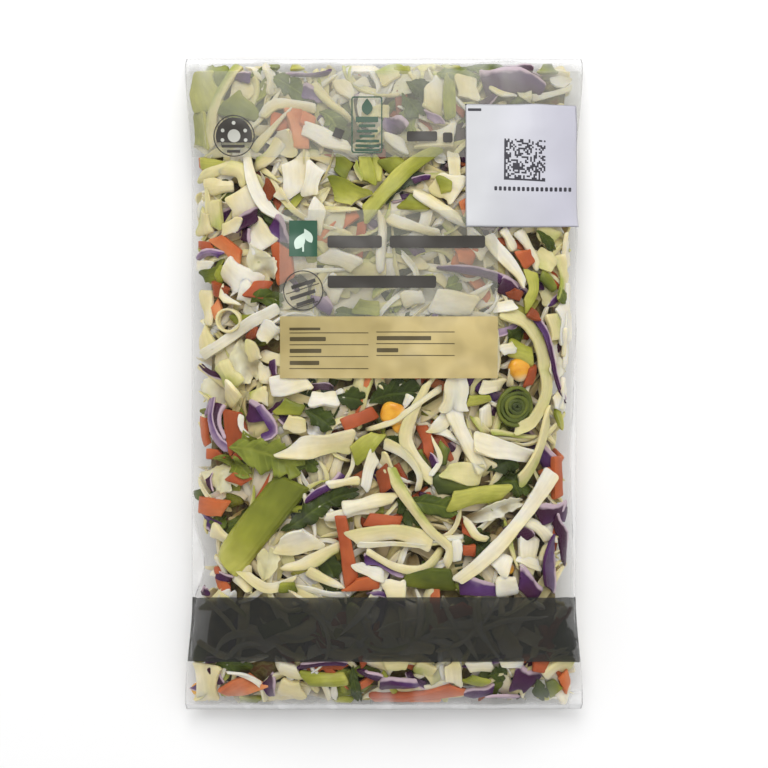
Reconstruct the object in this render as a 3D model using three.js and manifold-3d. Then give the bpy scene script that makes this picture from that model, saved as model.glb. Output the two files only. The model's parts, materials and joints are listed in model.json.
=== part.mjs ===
// A sealed pillow pack of coleslaw, lying on its back with the printed front up.
// Clear film is drawn over shredded vegetables, so the pack's skin shows them as low relief:
// cabbage shreds, carrot sticks, celery, spring onion rings and sweetcorn. Both ends are closed
// by a flat seal with a saw-toothed edge, and a paper sticker lies on the front.
// Millimetres, +Z up, +Y towards the pack's top end, origin under the centre of the pack.

import * as THREE from "three";
import { mergeVertices } from "three/addons/utils/BufferGeometryUtils.js";
import Module from "manifold-3d";

const wasm = await Module();
wasm.setup();

// Driving dimensions
const PACK_LENGTH = 300; // from tooth tip to tooth tip
const PACK_THICKNESS = 40; // of the filled middle
const WAIST_HALF_WIDTH = 87.5; // the filled tube is narrower than the flat ends
const END_HALF_WIDTH = 91;
const FLARE_START = 96; // distance from the middle where the sides begin to widen
const SEAL_REACH = 7.5; // how far a sagging end seal sticks out, seen from above
const SEAL_DROP = 6.5; // and how far it hangs down over that reach
const SEAL_THICKNESS = 0.9;
const SEAL_HEIGHT = 11; // of the line where the filling ends, above the table
const SIDE_HEIGHT = 14.5; // of the creased long sides, above the table
const TOOTH_PITCH = 2;
const TOOTH_DEPTH = 1.4;
const MARGIN = 1.6; // empty film along the long sides
const SLACK_LEFT = 5; // extra empty film where the filling has drawn away from a side
const SLACK_RIGHT = 7.5;
const SLACK_CENTRE_LEFT = -82; // along the pack
const SLACK_CENTRE_RIGHT = -38;
const SLACK_SPAN_LEFT = 34;
const SLACK_SPAN_RIGHT = 62;
const LUMP_HEIGHT = 0.9; // of the filling's broad unevenness
const LUMP_PITCH = 47;
const SIDE_SQUARENESS = 3.2; // how far out the crown stays level before it falls to a side
const END_SQUARENESS = 5; // and to an end
const SHOULDER = 0.62; // how abruptly it falls there: lower is rounder
const FLOOR_FLATTENING = 1.25; // over 1, so that the underside is pressed flat over most of its area

const STICKER = { left: 36.8, right: 85.6, low: 71.2, high: 128.8, gap: 0.5, thickness: 0.35 };

const BODY_END = PACK_LENGTH / 2 - SEAL_REACH;
const FILM_COLOUR = "#dfe3c9";
const PAPER_COLOUR = "#eceaf2";

const { smoothstep, clamp } = THREE.MathUtils;

// A repeatable random number from 0 to 1
function seeded(seed) {
  let state = seed;
  return () => {
    state = (state + 0x6d2b79f5) | 0;
    let t = Math.imul(state ^ (state >>> 15), 1 | state);
    t = (t + Math.imul(t ^ (t >>> 7), 61 | t)) ^ t;
    return ((t ^ (t >>> 14)) >>> 0) / 4294967296;
  };
}

// The pack's outline and skin

function halfWidth(y) {
  const widening = smoothstep(Math.abs(y), FLARE_START, BODY_END);
  return WAIST_HALF_WIDTH + (END_HALF_WIDTH - WAIST_HALF_WIDTH) * widening;
}

// Width of the empty film between the filling and a long side, at a place along the pack
function emptyMargin(y, side) {
  const [slack, centre, span] =
    side < 0
      ? [SLACK_LEFT, SLACK_CENTRE_LEFT, SLACK_SPAN_LEFT]
      : [SLACK_RIGHT, SLACK_CENTRE_RIGHT, SLACK_SPAN_RIGHT];
  return MARGIN + slack * Math.exp(-(((y - centre) / span) ** 2));
}

// How full the pack is at a point: 1 in the middle and 0 at the creased sides and the seals
function fullness(x, y) {
  const side = Math.sign(x) || 1;
  const across = clamp(Math.abs(x) / (halfWidth(y) - emptyMargin(y, side)), 0, 1);
  const along = clamp(Math.abs(y) / BODY_END, 0, 1);
  return (1 - across ** SIDE_SQUARENESS) ** SHOULDER * (1 - along ** END_SQUARENESS) ** SHOULDER;
}

function lump(x, y) {
  const turn = (2 * Math.PI) / LUMP_PITCH;
  return (
    LUMP_HEIGHT *
    (Math.sin(turn * (x + 0.35 * y)) + Math.sin(turn * 0.83 * (y - 0.42 * x) + 1.3))
  );
}

// Height of the line where the front and the back of the film meet
function rimHeight(y) {
  const along = clamp(Math.abs(y) / BODY_END, 0, 1);
  const rim = SIDE_HEIGHT + (SEAL_HEIGHT - SIDE_HEIGHT) * along ** 4;
  const beyond = clamp((Math.abs(y) - BODY_END) / SEAL_REACH, 0, 1);
  return rim - SEAL_DROP * beyond;
}

function frontHeight(x, y) {
  const full = fullness(x, y);
  const crown = PACK_THICKNESS - SIDE_HEIGHT + lump(x, y);
  return rimHeight(y) + SEAL_THICKNESS / 2 + crown * full;
}

function backHeight(x, y) {
  const depth = rimHeight(y) * FLOOR_FLATTENING;
  return rimHeight(y) - SEAL_THICKNESS / 2 - depth * fullness(x, y);
}

// Solids

function solidFrom(geometry) {
  const plain = new THREE.BufferGeometry();
  plain.setAttribute("position", geometry.getAttribute("position"));
  if (geometry.index) plain.setIndex(geometry.index);
  const merged = mergeVertices(plain, 1e-4);
  return new wasm.Manifold(
    new wasm.Mesh({
      numProp: 3,
      vertProperties: Float32Array.from(merged.getAttribute("position").array),
      triVerts: Uint32Array.from(merged.index.array),
    }),
  );
}

function geometryOf(solid) {
  const mesh = solid.getMesh();
  const positions = new Float32Array(mesh.numVert * 3);
  for (let i = 0; i < mesh.numVert; i++)
    positions.set(mesh.vertProperties.subarray(i * mesh.numProp, i * mesh.numProp + 3), i * 3);
  const geometry = new THREE.BufferGeometry();
  geometry.setAttribute("position", new THREE.BufferAttribute(positions, 3));
  geometry.setIndex(new THREE.BufferAttribute(Uint32Array.from(mesh.triVerts), 1));
  geometry.computeVertexNormals();
  return geometry;
}

// A closed skin between an upper and a lower surface, over a grid of columns and rows
function slab(columns, rows, place, upper, lower) {
  const points = [];
  const faces = [];
  const across = columns.length;
  for (const surface of [upper, lower])
    for (const row of rows)
      for (const column of columns) {
        const [x, y] = place(column, row);
        points.push(...surface(x, y));
      }
  const at = (layer, r, c) => (layer * rows.length + r) * across + c;
  const quad = (a, b, c, d) => faces.push(a, b, c, a, c, d);
  for (let r = 0; r + 1 < rows.length; r++)
    for (let c = 0; c + 1 < across; c++) {
      quad(at(0, r, c), at(0, r, c + 1), at(0, r + 1, c + 1), at(0, r + 1, c));
      quad(at(1, r, c), at(1, r + 1, c), at(1, r + 1, c + 1), at(1, r, c + 1));
    }
  for (let c = 0; c + 1 < across; c++) {
    const end = rows.length - 1;
    quad(at(1, 0, c), at(1, 0, c + 1), at(0, 0, c + 1), at(0, 0, c));
    quad(at(1, end, c + 1), at(1, end, c), at(0, end, c), at(0, end, c + 1));
  }
  for (let r = 0; r + 1 < rows.length; r++) {
    const edge = across - 1;
    quad(at(1, r + 1, 0), at(1, r, 0), at(0, r, 0), at(0, r + 1, 0));
    quad(at(1, r, edge), at(1, r + 1, edge), at(0, r + 1, edge), at(0, r, edge));
  }
  const geometry = new THREE.BufferGeometry();
  geometry.setAttribute("position", new THREE.Float32BufferAttribute(points, 3));
  geometry.setIndex(faces);
  return geometry;
}

// Numbers from -1 to 1, closer together towards both ends, where the skin curves most
function crowdedSteps(count, crowding) {
  return Array.from({ length: count + 1 }, (_, i) => {
    const t = (2 * i) / count - 1;
    return Math.sign(t) * (1 - (1 - Math.abs(t)) ** crowding);
  });
}

const SKIN_COLUMNS = 20;
const SKIN_ROWS = 30;
const SKIN_LINES = crowdedSteps(SKIN_ROWS, 1.3).map((t) => t * BODY_END);

function filledSkin() {
  const columns = [-2, ...crowdedSteps(SKIN_COLUMNS, 1.45), 2]; // 2 stands for the crease itself
  const place = (column, y) => {
    const side = Math.sign(column) || 1;
    const filled = halfWidth(y) - emptyMargin(y, side);
    return [Math.abs(column) > 1 ? side * halfWidth(y) : column * filled, y];
  };
  const seals = [-1, 1].map((end) => end * (PACK_LENGTH / 2));
  return slab(
    columns,
    [seals[0], ...SKIN_LINES, seals[1]],
    place,
    (x, y) => [x, y, frontHeight(x, y)],
    (x, y) => [x, y, backHeight(x, y)],
  );
}

const BACK_SEAM = { halfWidth: 6, proud: 0.7, root: 2 };

// The lengthwise seam of the wrap, folded flat down the middle of the back
function backSeam() {
  return slab(
    [-BACK_SEAM.halfWidth, BACK_SEAM.halfWidth],
    SKIN_LINES,
    (x, y) => [x, y],
    (x, y) => [x, y, backHeight(x, y) + BACK_SEAM.root],
    (x, y) => [x, y, backHeight(x, y) - BACK_SEAM.proud],
  );
}

// A comb that cuts one end's saw teeth
function toothComb(end) {
  const edge = (end * PACK_LENGTH) / 2;
  const root = edge - end * TOOTH_DEPTH;
  const reach = END_HALF_WIDTH + TOOTH_PITCH;
  const comb = new THREE.Shape().moveTo(-reach, edge + end * TOOTH_PITCH);
  const teeth = Math.round((2 * reach) / TOOTH_PITCH);
  for (let i = 0; i <= teeth; i++) {
    comb.lineTo(-reach + i * TOOTH_PITCH, root);
    if (i < teeth) comb.lineTo(-reach + (i + 0.5) * TOOTH_PITCH, edge);
  }
  comb.lineTo(reach, edge + end * TOOTH_PITCH);
  return solidFrom(new THREE.ExtrudeGeometry(comb, { depth: PACK_THICKNESS, bevelEnabled: false }));
}

// What shows through the film

// Outline of a strip along a circular arc, with its ends narrowed
function stripOutline({ x, y, heading, length, width, bend, steps }) {
  const left = [];
  const right = [];
  for (let i = 0; i <= steps; i++) {
    const t = i / steps - 0.5;
    const turn = heading + bend * t;
    const along = bend ? Math.sin((bend * t) / 2) / (bend / 2) : t;
    const middle = heading + (bend * t) / 2;
    const cx = x + length * along * Math.cos(middle);
    const cy = y + length * along * Math.sin(middle);
    const half = (width / 2) * (1 - 0.45 * (2 * Math.abs(t)) ** 4);
    left.push(new THREE.Vector2(cx - half * Math.sin(turn), cy + half * Math.cos(turn)));
    right.unshift(new THREE.Vector2(cx + half * Math.sin(turn), cy - half * Math.cos(turn)));
  }
  return [...left, ...right].reverse();
}

// A flat outline laid on the skin: proud of it by some height, and rooted in it
function drape(outline, proud, root, surface) {
  const shape = new THREE.Shape(outline);
  const plate = new THREE.ExtrudeGeometry(shape, { depth: 1, bevelEnabled: false });
  const position = plate.getAttribute("position");
  for (let i = 0; i < position.count; i++) {
    const [x, y] = [position.getX(i), position.getY(i)];
    const outer = position.getZ(i) > 0.5 === surface.up;
    const offset = surface.up ? (outer ? proud : -root) : outer ? -proud : root;
    position.setZ(i, surface.height(x, y) + offset);
  }
  return solidFrom(plate);
}

const FRONT = { height: frontHeight, up: true };
const BACK = { height: backHeight, up: false };

// Kinds of piece, the large ones first: sizes in mm, bend in radians over the whole piece
const KINDS = [
  { name: "cabbage rib", front: 9, back: 2, length: [22, 34], width: [8, 11], proud: 2.2, bend: 0.5, steps: 4 },
  { name: "leaf", front: 5, back: 2, length: [20, 30], width: [11, 15], proud: 1.1, bend: 0.4, steps: 4 },
  { name: "cabbage shred", front: 36, back: 8, length: [36, 64], width: [4, 6], proud: 1.5, bend: 1.7, steps: 5 },
  { name: "carrot stick", front: 9, back: 2, length: [18, 32], width: [4.5, 6], proud: 1.9, bend: 0.15, steps: 2 },
];
const ROOT = 2.5; // how deep a piece is set into the filling
const CLEAR_OF_EDGE = 5;
const CLEAR_OF_STICKER = 2.5;
const CELERY = { x: -59, y: -54, heading: 0.86, length: 64, width: 15, bend: 0.1, steps: 6 };
const CELERY_PROUD = 3;
const KERNELS = [
  [63, 6],
  [4, -13],
  [-24, 38],
];
const KERNEL_RADIUS = 4.6;
const RINGS = [
  [60, -11],
  [-49, 60],
  [22, -86],
];
const RING_RADIUS = 5.5;
const RING_TUBE = 1.7;

function between([least, most], draw) {
  return least + (most - least) * draw;
}

function clearOfEdges(outline) {
  return outline.every(
    ({ x, y }) =>
      Math.abs(x) < halfWidth(y) - emptyMargin(y, Math.sign(x)) - CLEAR_OF_EDGE &&
      Math.abs(y) < BODY_END - CLEAR_OF_EDGE,
  );
}

function overSticker(outline) {
  return outline.some(
    ({ x, y }) =>
      x > STICKER.left - CLEAR_OF_STICKER &&
      y > STICKER.low - CLEAR_OF_STICKER &&
      y < STICKER.high + CLEAR_OF_STICKER,
  );
}

// Pieces of one kind, spread over a surface by taking the most open of several places for each
function scatter(kind, count, surface, random, taken) {
  const pieces = [];
  for (let tries = 0; pieces.length < count && tries < 40 * count; tries++) {
    const candidates = Array.from({ length: 6 }, () => ({
      x: between([-WAIST_HALF_WIDTH, WAIST_HALF_WIDTH], random()),
      y: between([-BODY_END, BODY_END], random()),
    }));
    const openness = (p) => Math.min(...taken.map((q) => Math.hypot(p.x - q.x, p.y - q.y)), 1e3);
    const place = candidates.reduce((best, p) => (openness(p) > openness(best) ? p : best));
    const turned = Array.from({ length: 12 }, () =>
      stripOutline({
        ...place,
        heading: between([0, Math.PI], random()),
        length: between(kind.length, random()),
        width: between(kind.width, random()),
        bend: between([-kind.bend, kind.bend], random()),
        steps: kind.steps,
      }),
    );
    const outline = turned.find((o) => clearOfEdges(o) && !(surface.up && overSticker(o)));
    if (!outline) continue;
    taken.push(place);
    pieces.push(drape(outline, kind.proud, ROOT, surface));
  }
  return pieces;
}

function roundPiece(geometry, [x, y]) {
  return solidFrom(geometry.clone().translate(x, y, frontHeight(x, y)));
}

function reliefPieces() {
  const random = seeded(7);
  const kernel = new THREE.SphereGeometry(KERNEL_RADIUS, 9, 6);
  const ring = new THREE.TorusGeometry(RING_RADIUS, RING_TUBE, 6, 12);
  const taken = [CELERY, ...[...KERNELS, ...RINGS].map(([x, y]) => ({ x, y }))];
  const takenBehind = [];
  return [
    drape(stripOutline(CELERY), CELERY_PROUD, ROOT, FRONT),
    ...KERNELS.map((place) => roundPiece(kernel, place)),
    ...RINGS.map((place) => roundPiece(ring, place)),
    ...KINDS.flatMap((kind) => [
      ...scatter(kind, kind.front, FRONT, random, taken),
      ...scatter(kind, kind.back, BACK, random, takenBehind),
    ]),
  ];
}

// The two nodes

function packSolid() {
  const table = new THREE.BoxGeometry(3 * WAIST_HALF_WIDTH, 2 * PACK_LENGTH, PACK_THICKNESS);
  table.translate(0, 0, -PACK_THICKNESS / 2);
  const skins = [filledSkin(), backSeam()].map(solidFrom);
  const filled = wasm.Manifold.union([...skins, ...reliefPieces()]);
  return [-1, 1]
    .reduce((solid, end) => solid.subtract(toothComb(end)), filled)
    .subtract(solidFrom(table));
}

// A point a given distance off the front skin, square to it
function offFront(x, y, distance) {
  const step = 0.5;
  const normal = new THREE.Vector3(
    (frontHeight(x - step, y) - frontHeight(x + step, y)) / (2 * step),
    (frontHeight(x, y - step) - frontHeight(x, y + step)) / (2 * step),
    1,
  ).normalize();
  return new THREE.Vector3(x, y, frontHeight(x, y)).addScaledVector(normal, distance).toArray();
}

function stickerGeometry() {
  const steps = (count, crowding) =>
    Array.from({ length: count + 1 }, (_, i) => 1 - (1 - i / count) ** crowding);
  const place = (c, r) => [
    between([STICKER.left, STICKER.right], c),
    between([STICKER.low, STICKER.high], r),
  ];
  return slab(
    steps(12, 2), // closer together where the sticker bends down over the side
    steps(9, 1),
    place,
    (x, y) => offFront(x, y, STICKER.gap + STICKER.thickness),
    (x, y) => offFront(x, y, STICKER.gap),
  );
}

function namedMesh(name, geometry, colour, roughness) {
  const material = new THREE.MeshStandardMaterial({ color: colour, roughness, metalness: 0 });
  const mesh = new THREE.Mesh(geometry, material);
  mesh.name = name;
  return mesh;
}

const coleslawPack = new THREE.Group();
coleslawPack.add(
  namedMesh("filled_bag", geometryOf(packSolid()), FILM_COLOUR, 0.3),
  namedMesh("use_by_sticker", stickerGeometry(), PAPER_COLOUR, 0.7),
);

export default coleslawPack;
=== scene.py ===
"""A sealed clear pack of shredded coleslaw vegetables, lying on its back.

Laid out as a Blender add-on and run as a script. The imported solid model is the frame; the film, the
vegetables under it, the print on it and the paper sticker are made here, in metres, in that frame.
"""

import functools
import json
import math

import bmesh
import bpy
import numpy as np
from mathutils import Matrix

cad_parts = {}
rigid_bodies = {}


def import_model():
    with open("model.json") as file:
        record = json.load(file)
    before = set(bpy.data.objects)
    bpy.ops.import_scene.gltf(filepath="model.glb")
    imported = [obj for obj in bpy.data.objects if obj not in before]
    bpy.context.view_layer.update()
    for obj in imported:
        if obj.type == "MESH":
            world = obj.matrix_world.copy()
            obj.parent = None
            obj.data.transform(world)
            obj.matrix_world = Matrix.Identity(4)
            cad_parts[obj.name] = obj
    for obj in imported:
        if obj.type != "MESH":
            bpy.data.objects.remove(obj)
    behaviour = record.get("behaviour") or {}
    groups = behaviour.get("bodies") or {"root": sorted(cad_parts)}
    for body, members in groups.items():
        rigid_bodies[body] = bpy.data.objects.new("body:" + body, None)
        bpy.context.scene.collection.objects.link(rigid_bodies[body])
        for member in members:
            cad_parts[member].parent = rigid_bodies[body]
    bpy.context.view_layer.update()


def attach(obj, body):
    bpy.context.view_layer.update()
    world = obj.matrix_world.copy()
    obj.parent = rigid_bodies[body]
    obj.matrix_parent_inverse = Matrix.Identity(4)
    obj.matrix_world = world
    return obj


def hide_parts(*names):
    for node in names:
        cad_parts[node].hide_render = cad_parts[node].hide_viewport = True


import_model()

bl_info = {
    "name": "Coleslaw pack",
    "version": (1, 0, 0),
    "blender": (4, 5, 0),
    "location": "3D View > Sidebar > Coleslaw",
    "description": "Builds a sealed pack of shredded coleslaw vegetables",
    "category": "Add Mesh",
}

# The pack's skin, in millimetres. It follows the rules of the solid model, with narrower seals.
PACK_LENGTH = 300
PACK_THICKNESS = 40
WAIST_HALF_WIDTH = 87.5
END_HALF_WIDTH = 91
FLARE_START = 96
SEAL_REACH = 3.4
SEAL_DROP = 6.5
SEAL_HEIGHT = 11
SIDE_HEIGHT = 14.5
TOOTH_DEPTH = 1.4
MARGIN = 1.0
SLACK = {1: (2.8, -42, 55), -1: (6, -82, 15)}  # of the empty film along each side: width, centre, span
LUMP_HEIGHT = 0.9
LUMP_PITCH = 47
SIDE_SQUARENESS = 3.2
END_SQUARENESS = 5
SHOULDER = 0.62
FLOOR_FLATTENING = 1.25
BODY_END = PACK_LENGTH / 2 - SEAL_REACH
TABLE_GAP = 0.12  # between the table and the film that lies on it
LEAST_FILM_HEIGHT, LEAST_FILLING_HEIGHT = 0.03, 0.35  # over the table
THREAD_HALF_WIDTH = 2.3  # a narrower shred of cabbage is a thread

FRONT, BACK = 1, -1
MM = 0.001


def smoothstep(t):
    t = np.clip(t, 0, 1)
    return t * t * (3 - 2 * t)


def half_width(y):
    widening = smoothstep((np.abs(y) - FLARE_START) / (BODY_END - FLARE_START))
    return WAIST_HALF_WIDTH + (END_HALF_WIDTH - WAIST_HALF_WIDTH) * widening


def filled_half_width(x, y):
    """Half the width of the filling on the side of x; beyond it the film is empty."""
    margins = [MARGIN + s * np.exp(-(((y - c) / span) ** 2)) for s, c, span in (SLACK[1], SLACK[-1])]
    return half_width(y) - np.where(np.asarray(x) < 0, margins[1], margins[0])


def fullness(x, y):
    across = np.clip(np.abs(x) / filled_half_width(x, y), 0, 1)
    along = np.clip(np.abs(y) / BODY_END, 0, 1)
    return (1 - across**SIDE_SQUARENESS) ** SHOULDER * (1 - along**END_SQUARENESS) ** SHOULDER


def rim_height(y):
    """Height of the line where the front and the back of the film meet."""
    along = np.clip(np.abs(y) / BODY_END, 0, 1)
    rim = SIDE_HEIGHT + (SEAL_HEIGHT - SIDE_HEIGHT) * along**4
    return rim - SEAL_DROP * np.clip((np.abs(y) - BODY_END) / SEAL_REACH, 0, 1)


def skin_height(x, y, side):
    full = fullness(x, y)
    if side == BACK:
        return np.maximum(rim_height(y) * (1 - FLOOR_FLATTENING * full), TABLE_GAP)
    turn = 2 * math.pi / LUMP_PITCH
    lump = LUMP_HEIGHT * (np.sin(turn * (x + 0.35 * y)) + np.sin(turn * 0.83 * (y - 0.42 * x) + 1.3))
    return rim_height(y) + (PACK_THICKNESS - SIDE_HEIGHT + lump) * full


def unit(v):
    return v / np.maximum(np.linalg.norm(v, axis=-1, keepdims=True), 1e-9)


def skin_frame(x, y, side, step=1.2):
    """Points of the skin over x, y, and the directions square to it, outwards."""
    x, y = np.broadcast_arrays(np.asarray(x, float), np.asarray(y, float))
    rise_x = (skin_height(x + step, y, side) - skin_height(x - step, y, side)) / (2 * step)
    rise_y = (skin_height(x, y + step, side) - skin_height(x, y - step, side)) / (2 * step)
    point = np.stack([x, y, skin_height(x, y, side)], -1)
    return point, unit(np.stack([-rise_x, -rise_y, np.ones_like(x)], -1) * side)


# The camera looks straight down on the pack. Places on the front are given as the camera sees them,
# in millimetres at the height of the pack's sides, because that is how they were measured.
LENS = 85
SENSOR = 36
VIEW_WIDTH = 350.7
VIEW_HEIGHT = 13
CAMERA_RISE = VIEW_WIDTH / 2 / (SENSOR / 2 / LENS)


def seen(points):
    """Moves places measured in the view to where the pack's front carries them."""
    shown = np.asarray(points, float)
    x, y = shown[..., 0], shown[..., 1]
    for _ in range(4):
        shrink = 1 - (skin_height(x, y, FRONT) - VIEW_HEIGHT) / CAMERA_RISE
        x, y = shown[..., 0] * shrink, shown[..., 1] * shrink
    return np.stack([x, y], -1)


# Noise and grids


def between(corner, tx, ty):
    """Blends what corner(column, row) gives for the four points round each place."""
    near = corner(0, 0) * (1 - tx) + corner(1, 0) * tx
    far = corner(0, 1) * (1 - tx) + corner(1, 1) * tx
    return near * (1 - ty) + far * ty


def lattice_noise(x, y, seed):
    """Smooth noise from -1 to 1 that changes over about one unit of x and of y."""
    values = np.random.default_rng(seed).uniform(-1, 1, (64, 64))
    fx, fy = np.floor(x), np.floor(y)
    ix, iy = fx.astype(int), fy.astype(int)
    corner = lambda a, b: values[(iy + b) % 64, (ix + a) % 64]
    return between(corner, smoothstep(x - fx), smoothstep(y - fy))


PITCH = 1.0
COLUMNS = np.arange(-94, 94 + PITCH, PITCH)
ROWS = np.arange(-151, 151 + PITCH, PITCH)


def read_grid(grid, x, y):
    """The grid's value at places between its points."""
    fx = np.clip((x - COLUMNS[0]) / PITCH, 0, len(COLUMNS) - 1.001)
    fy = np.clip((y - ROWS[0]) / PITCH, 0, len(ROWS) - 1.001)
    ix, iy = fx.astype(int), fy.astype(int)
    return between(lambda a, b: grid[iy + b, ix + a], fx - ix, fy - iy)


def nearest_points(x, y):
    """Rows and columns of the grid points nearest to each place."""
    ix = np.clip(np.rint((x - COLUMNS[0]) / PITCH).astype(int), 0, len(COLUMNS) - 1)
    iy = np.clip(np.rint((y - ROWS[0]) / PITCH).astype(int), 0, len(ROWS) - 1)
    return iy, ix


def neighbours_mean(grid):
    padded = np.pad(grid, 1, mode="edge")
    return (padded[:-2, 1:-1] + padded[2:, 1:-1] + padded[1:-1, :-2] + padded[1:-1, 2:]) / 4


def stretched_over(obstacle, pull, rounds):
    """A tight skin over bumpy ground: smooth between the places that hold it up."""
    sheet = obstacle.copy()
    for _ in range(rounds):
        sheet = np.maximum(obstacle, neighbours_mean(sheet) - pull)
    return sheet


# The pile of vegetables

ROOM_SHARE = 0.42  # of the pack's thickness, which the loose pieces on one face may take up
FULL_ROOM = 8  # near the rim there is less room than this, and the pile bulges and moves less
BULGE = 2.2  # how far the uppermost pieces may stand out before the film holds them
SQUASH_START = 0.55  # share of the limit up to which a pile isn't squashed
CORNER_CUT, CORNER_SPAN = 4, 8  # how the filling's corners are rounded
WANDER_STEP = 3.2


def bridged(base, rounds):
    """Heights of a springy strip that lies on uneven ground: it spans the hollows."""
    height = base.copy()
    for _ in range(rounds):
        height[1:-1] = np.maximum(base[1:-1], (height[:-2] + height[2:]) / 2)
    return height


class Pile:
    """Vegetables dropped one on another against one face of the pack. Heights count from the core
    outwards, and the film squashes the pile towards a limit."""

    def __init__(self, side, depth):
        self.side = side
        x, y = np.meshgrid(COLUMNS, ROWS)
        normal = skin_frame(x, y, side)[1]
        thickness = skin_height(x, y, FRONT) - skin_height(x, y, BACK)
        self.room = np.clip(ROOM_SHARE * thickness * np.abs(normal[..., 2]) ** 1.3, 0.15, depth)
        self.height = np.zeros_like(self.room)
        self.limit = 0.5 * self.room

    def settle(self):
        """Packs what has been dropped so far into the lower half of the room."""
        self.height = squashed(self.height, self.limit)
        bulge = BULGE * np.minimum(1, self.room / FULL_ROOM) if self.side == FRONT else -0.4
        self.limit = self.room + bulge

    def mark(self, x, y, top):
        np.maximum.at(self.height, nearest_points(x, y), top)

    def placed(self, x, y, top, thickness):
        """Centre points and outward directions of something with its top at that height."""
        point, normal = skin_frame(x, y, self.side)
        top = squashed(top, read_grid(self.limit, x, y))
        below = read_grid(self.room, x, y) - top + thickness / 2
        return point - normal * np.asarray(below)[..., None], normal

    def lay(self, spine, width, thickness, rounds):
        """Lays a strip along its spine. Returns its centre line and its side and up directions."""
        point, normal = skin_frame(spine[:, 0], spine[:, 1], self.side)
        side = unit(np.cross(normal, np.gradient(point, axis=0)))
        offsets = np.linspace(-0.45, 0.45, 5)
        across = spine[:, None, :] + side[:, None, :2] * (offsets * width)[None, :, None]
        ground = read_grid(self.height, across[..., 0], across[..., 1])
        base = 0.75 * ground.max(1) + 0.25 * ground.mean(1)
        bottom = bridged(base, rounds)
        lean = np.clip((ground[:, 3:].mean(1) - ground[:, :2].mean(1)) / (0.6 * width), -0.3, 0.3)
        lean = np.convolve(np.pad(lean, 2, mode="edge"), np.full(5, 0.2), "valid")
        top = bottom + thickness
        fine = np.linspace(0, len(spine) - 1, 1 + int(len(spine) * 4))
        at = np.arange(len(spine))
        for v in np.arange(-width / 2, width / 2 + 0.01, 0.8):
            x = np.interp(fine, at, spine[:, 0] + side[:, 0] * v)
            y = np.interp(fine, at, spine[:, 1] + side[:, 1] * v)
            fall = 0.3 * thickness * (2 * v / width) ** 2
            self.mark(x, y, np.interp(fine, at, top + lean * v) - fall)
        centre, normal = self.placed(spine[:, 0], spine[:, 1], top, thickness)
        side = unit(np.cross(normal, np.gradient(centre, axis=0)))
        up = unit(np.cross(np.gradient(centre, axis=0), side))
        tilt = lean[:, None]
        return centre, unit(side + up * tilt), unit(up - side * tilt)


def pushed_out(pile, pieces, proud):
    """Moves the pieces on one face outwards together, until the tallest reach the film."""
    tops = squashed(pile.height, pile.limit) - pile.room
    envelope = stretched_over(tops, 0.01, 300)
    for _ in range(12):
        envelope = neighbours_mean(envelope)
    push = np.clip(proud * np.minimum(1, pile.room / FULL_ROOM) - envelope, -1, 9)
    for piece in pieces:
        place = piece["centre"]
        normal = skin_frame(place[..., 0], place[..., 1], pile.side)[1]
        piece["centre"] = place + normal * read_grid(push, place[..., 0], place[..., 1])[..., None]
    pile.room = pile.room - push


def squashed(height, limit):
    """Heights pressed under a limit, so that what lies higher stays higher."""
    knee = SQUASH_START * limit
    soft = np.maximum(limit - knee, 0.05)
    return np.where(height < knee, height, knee + soft * (1 - np.exp(-np.maximum(height - knee, 0) / soft)))


def kept_inside(spine, width):
    """A path moved in from the pack's rim far enough for a strip of that width."""
    along = unit(np.gradient(spine, axis=0))
    x, y = spine[:, 0], spine[:, 1]
    reach_y = BODY_END - 0.2 - 0.5 * width * np.abs(along[:, 0])
    y = np.clip(y, -reach_y, reach_y)
    reach_x = filled_half_width(x, y) - 0.4 - 0.5 * width * np.abs(along[:, 1])
    reach_x = reach_x - CORNER_CUT * smoothstep((np.abs(y) - (BODY_END - CORNER_SPAN)) / CORNER_SPAN) ** 2
    return np.stack([np.clip(x, -reach_x, reach_x), y], -1)


def curve_through(points, spacing=2.5):
    """A smooth path through a few points, with even steps."""
    points = np.asarray(points, float)
    if len(points) > 2:
        ends = [2 * points[0] - points[1], *points, 2 * points[-1] - points[-2]]
        t = np.linspace(0, 1, 9)[:-1, None]
        path = []
        for a, b, c, d in zip(ends, ends[1:], ends[2:], ends[3:]):
            square = (2 * a - 5 * b + 4 * c - d) * t**2
            cube = (3 * b - a - 3 * c + d) * t**3
            path.append(0.5 * (2 * b + (c - a) * t + square + cube))
        points = np.concatenate([*path, points[-1:]])
    reach = np.concatenate([[0], np.cumsum(np.linalg.norm(np.diff(points, axis=0), axis=1))])
    count = max(5, int(reach[-1] / spacing) + 2)
    even = np.linspace(0, reach[-1], count)
    return np.stack([np.interp(even, reach, points[:, i]) for i in (0, 1)], -1)


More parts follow.
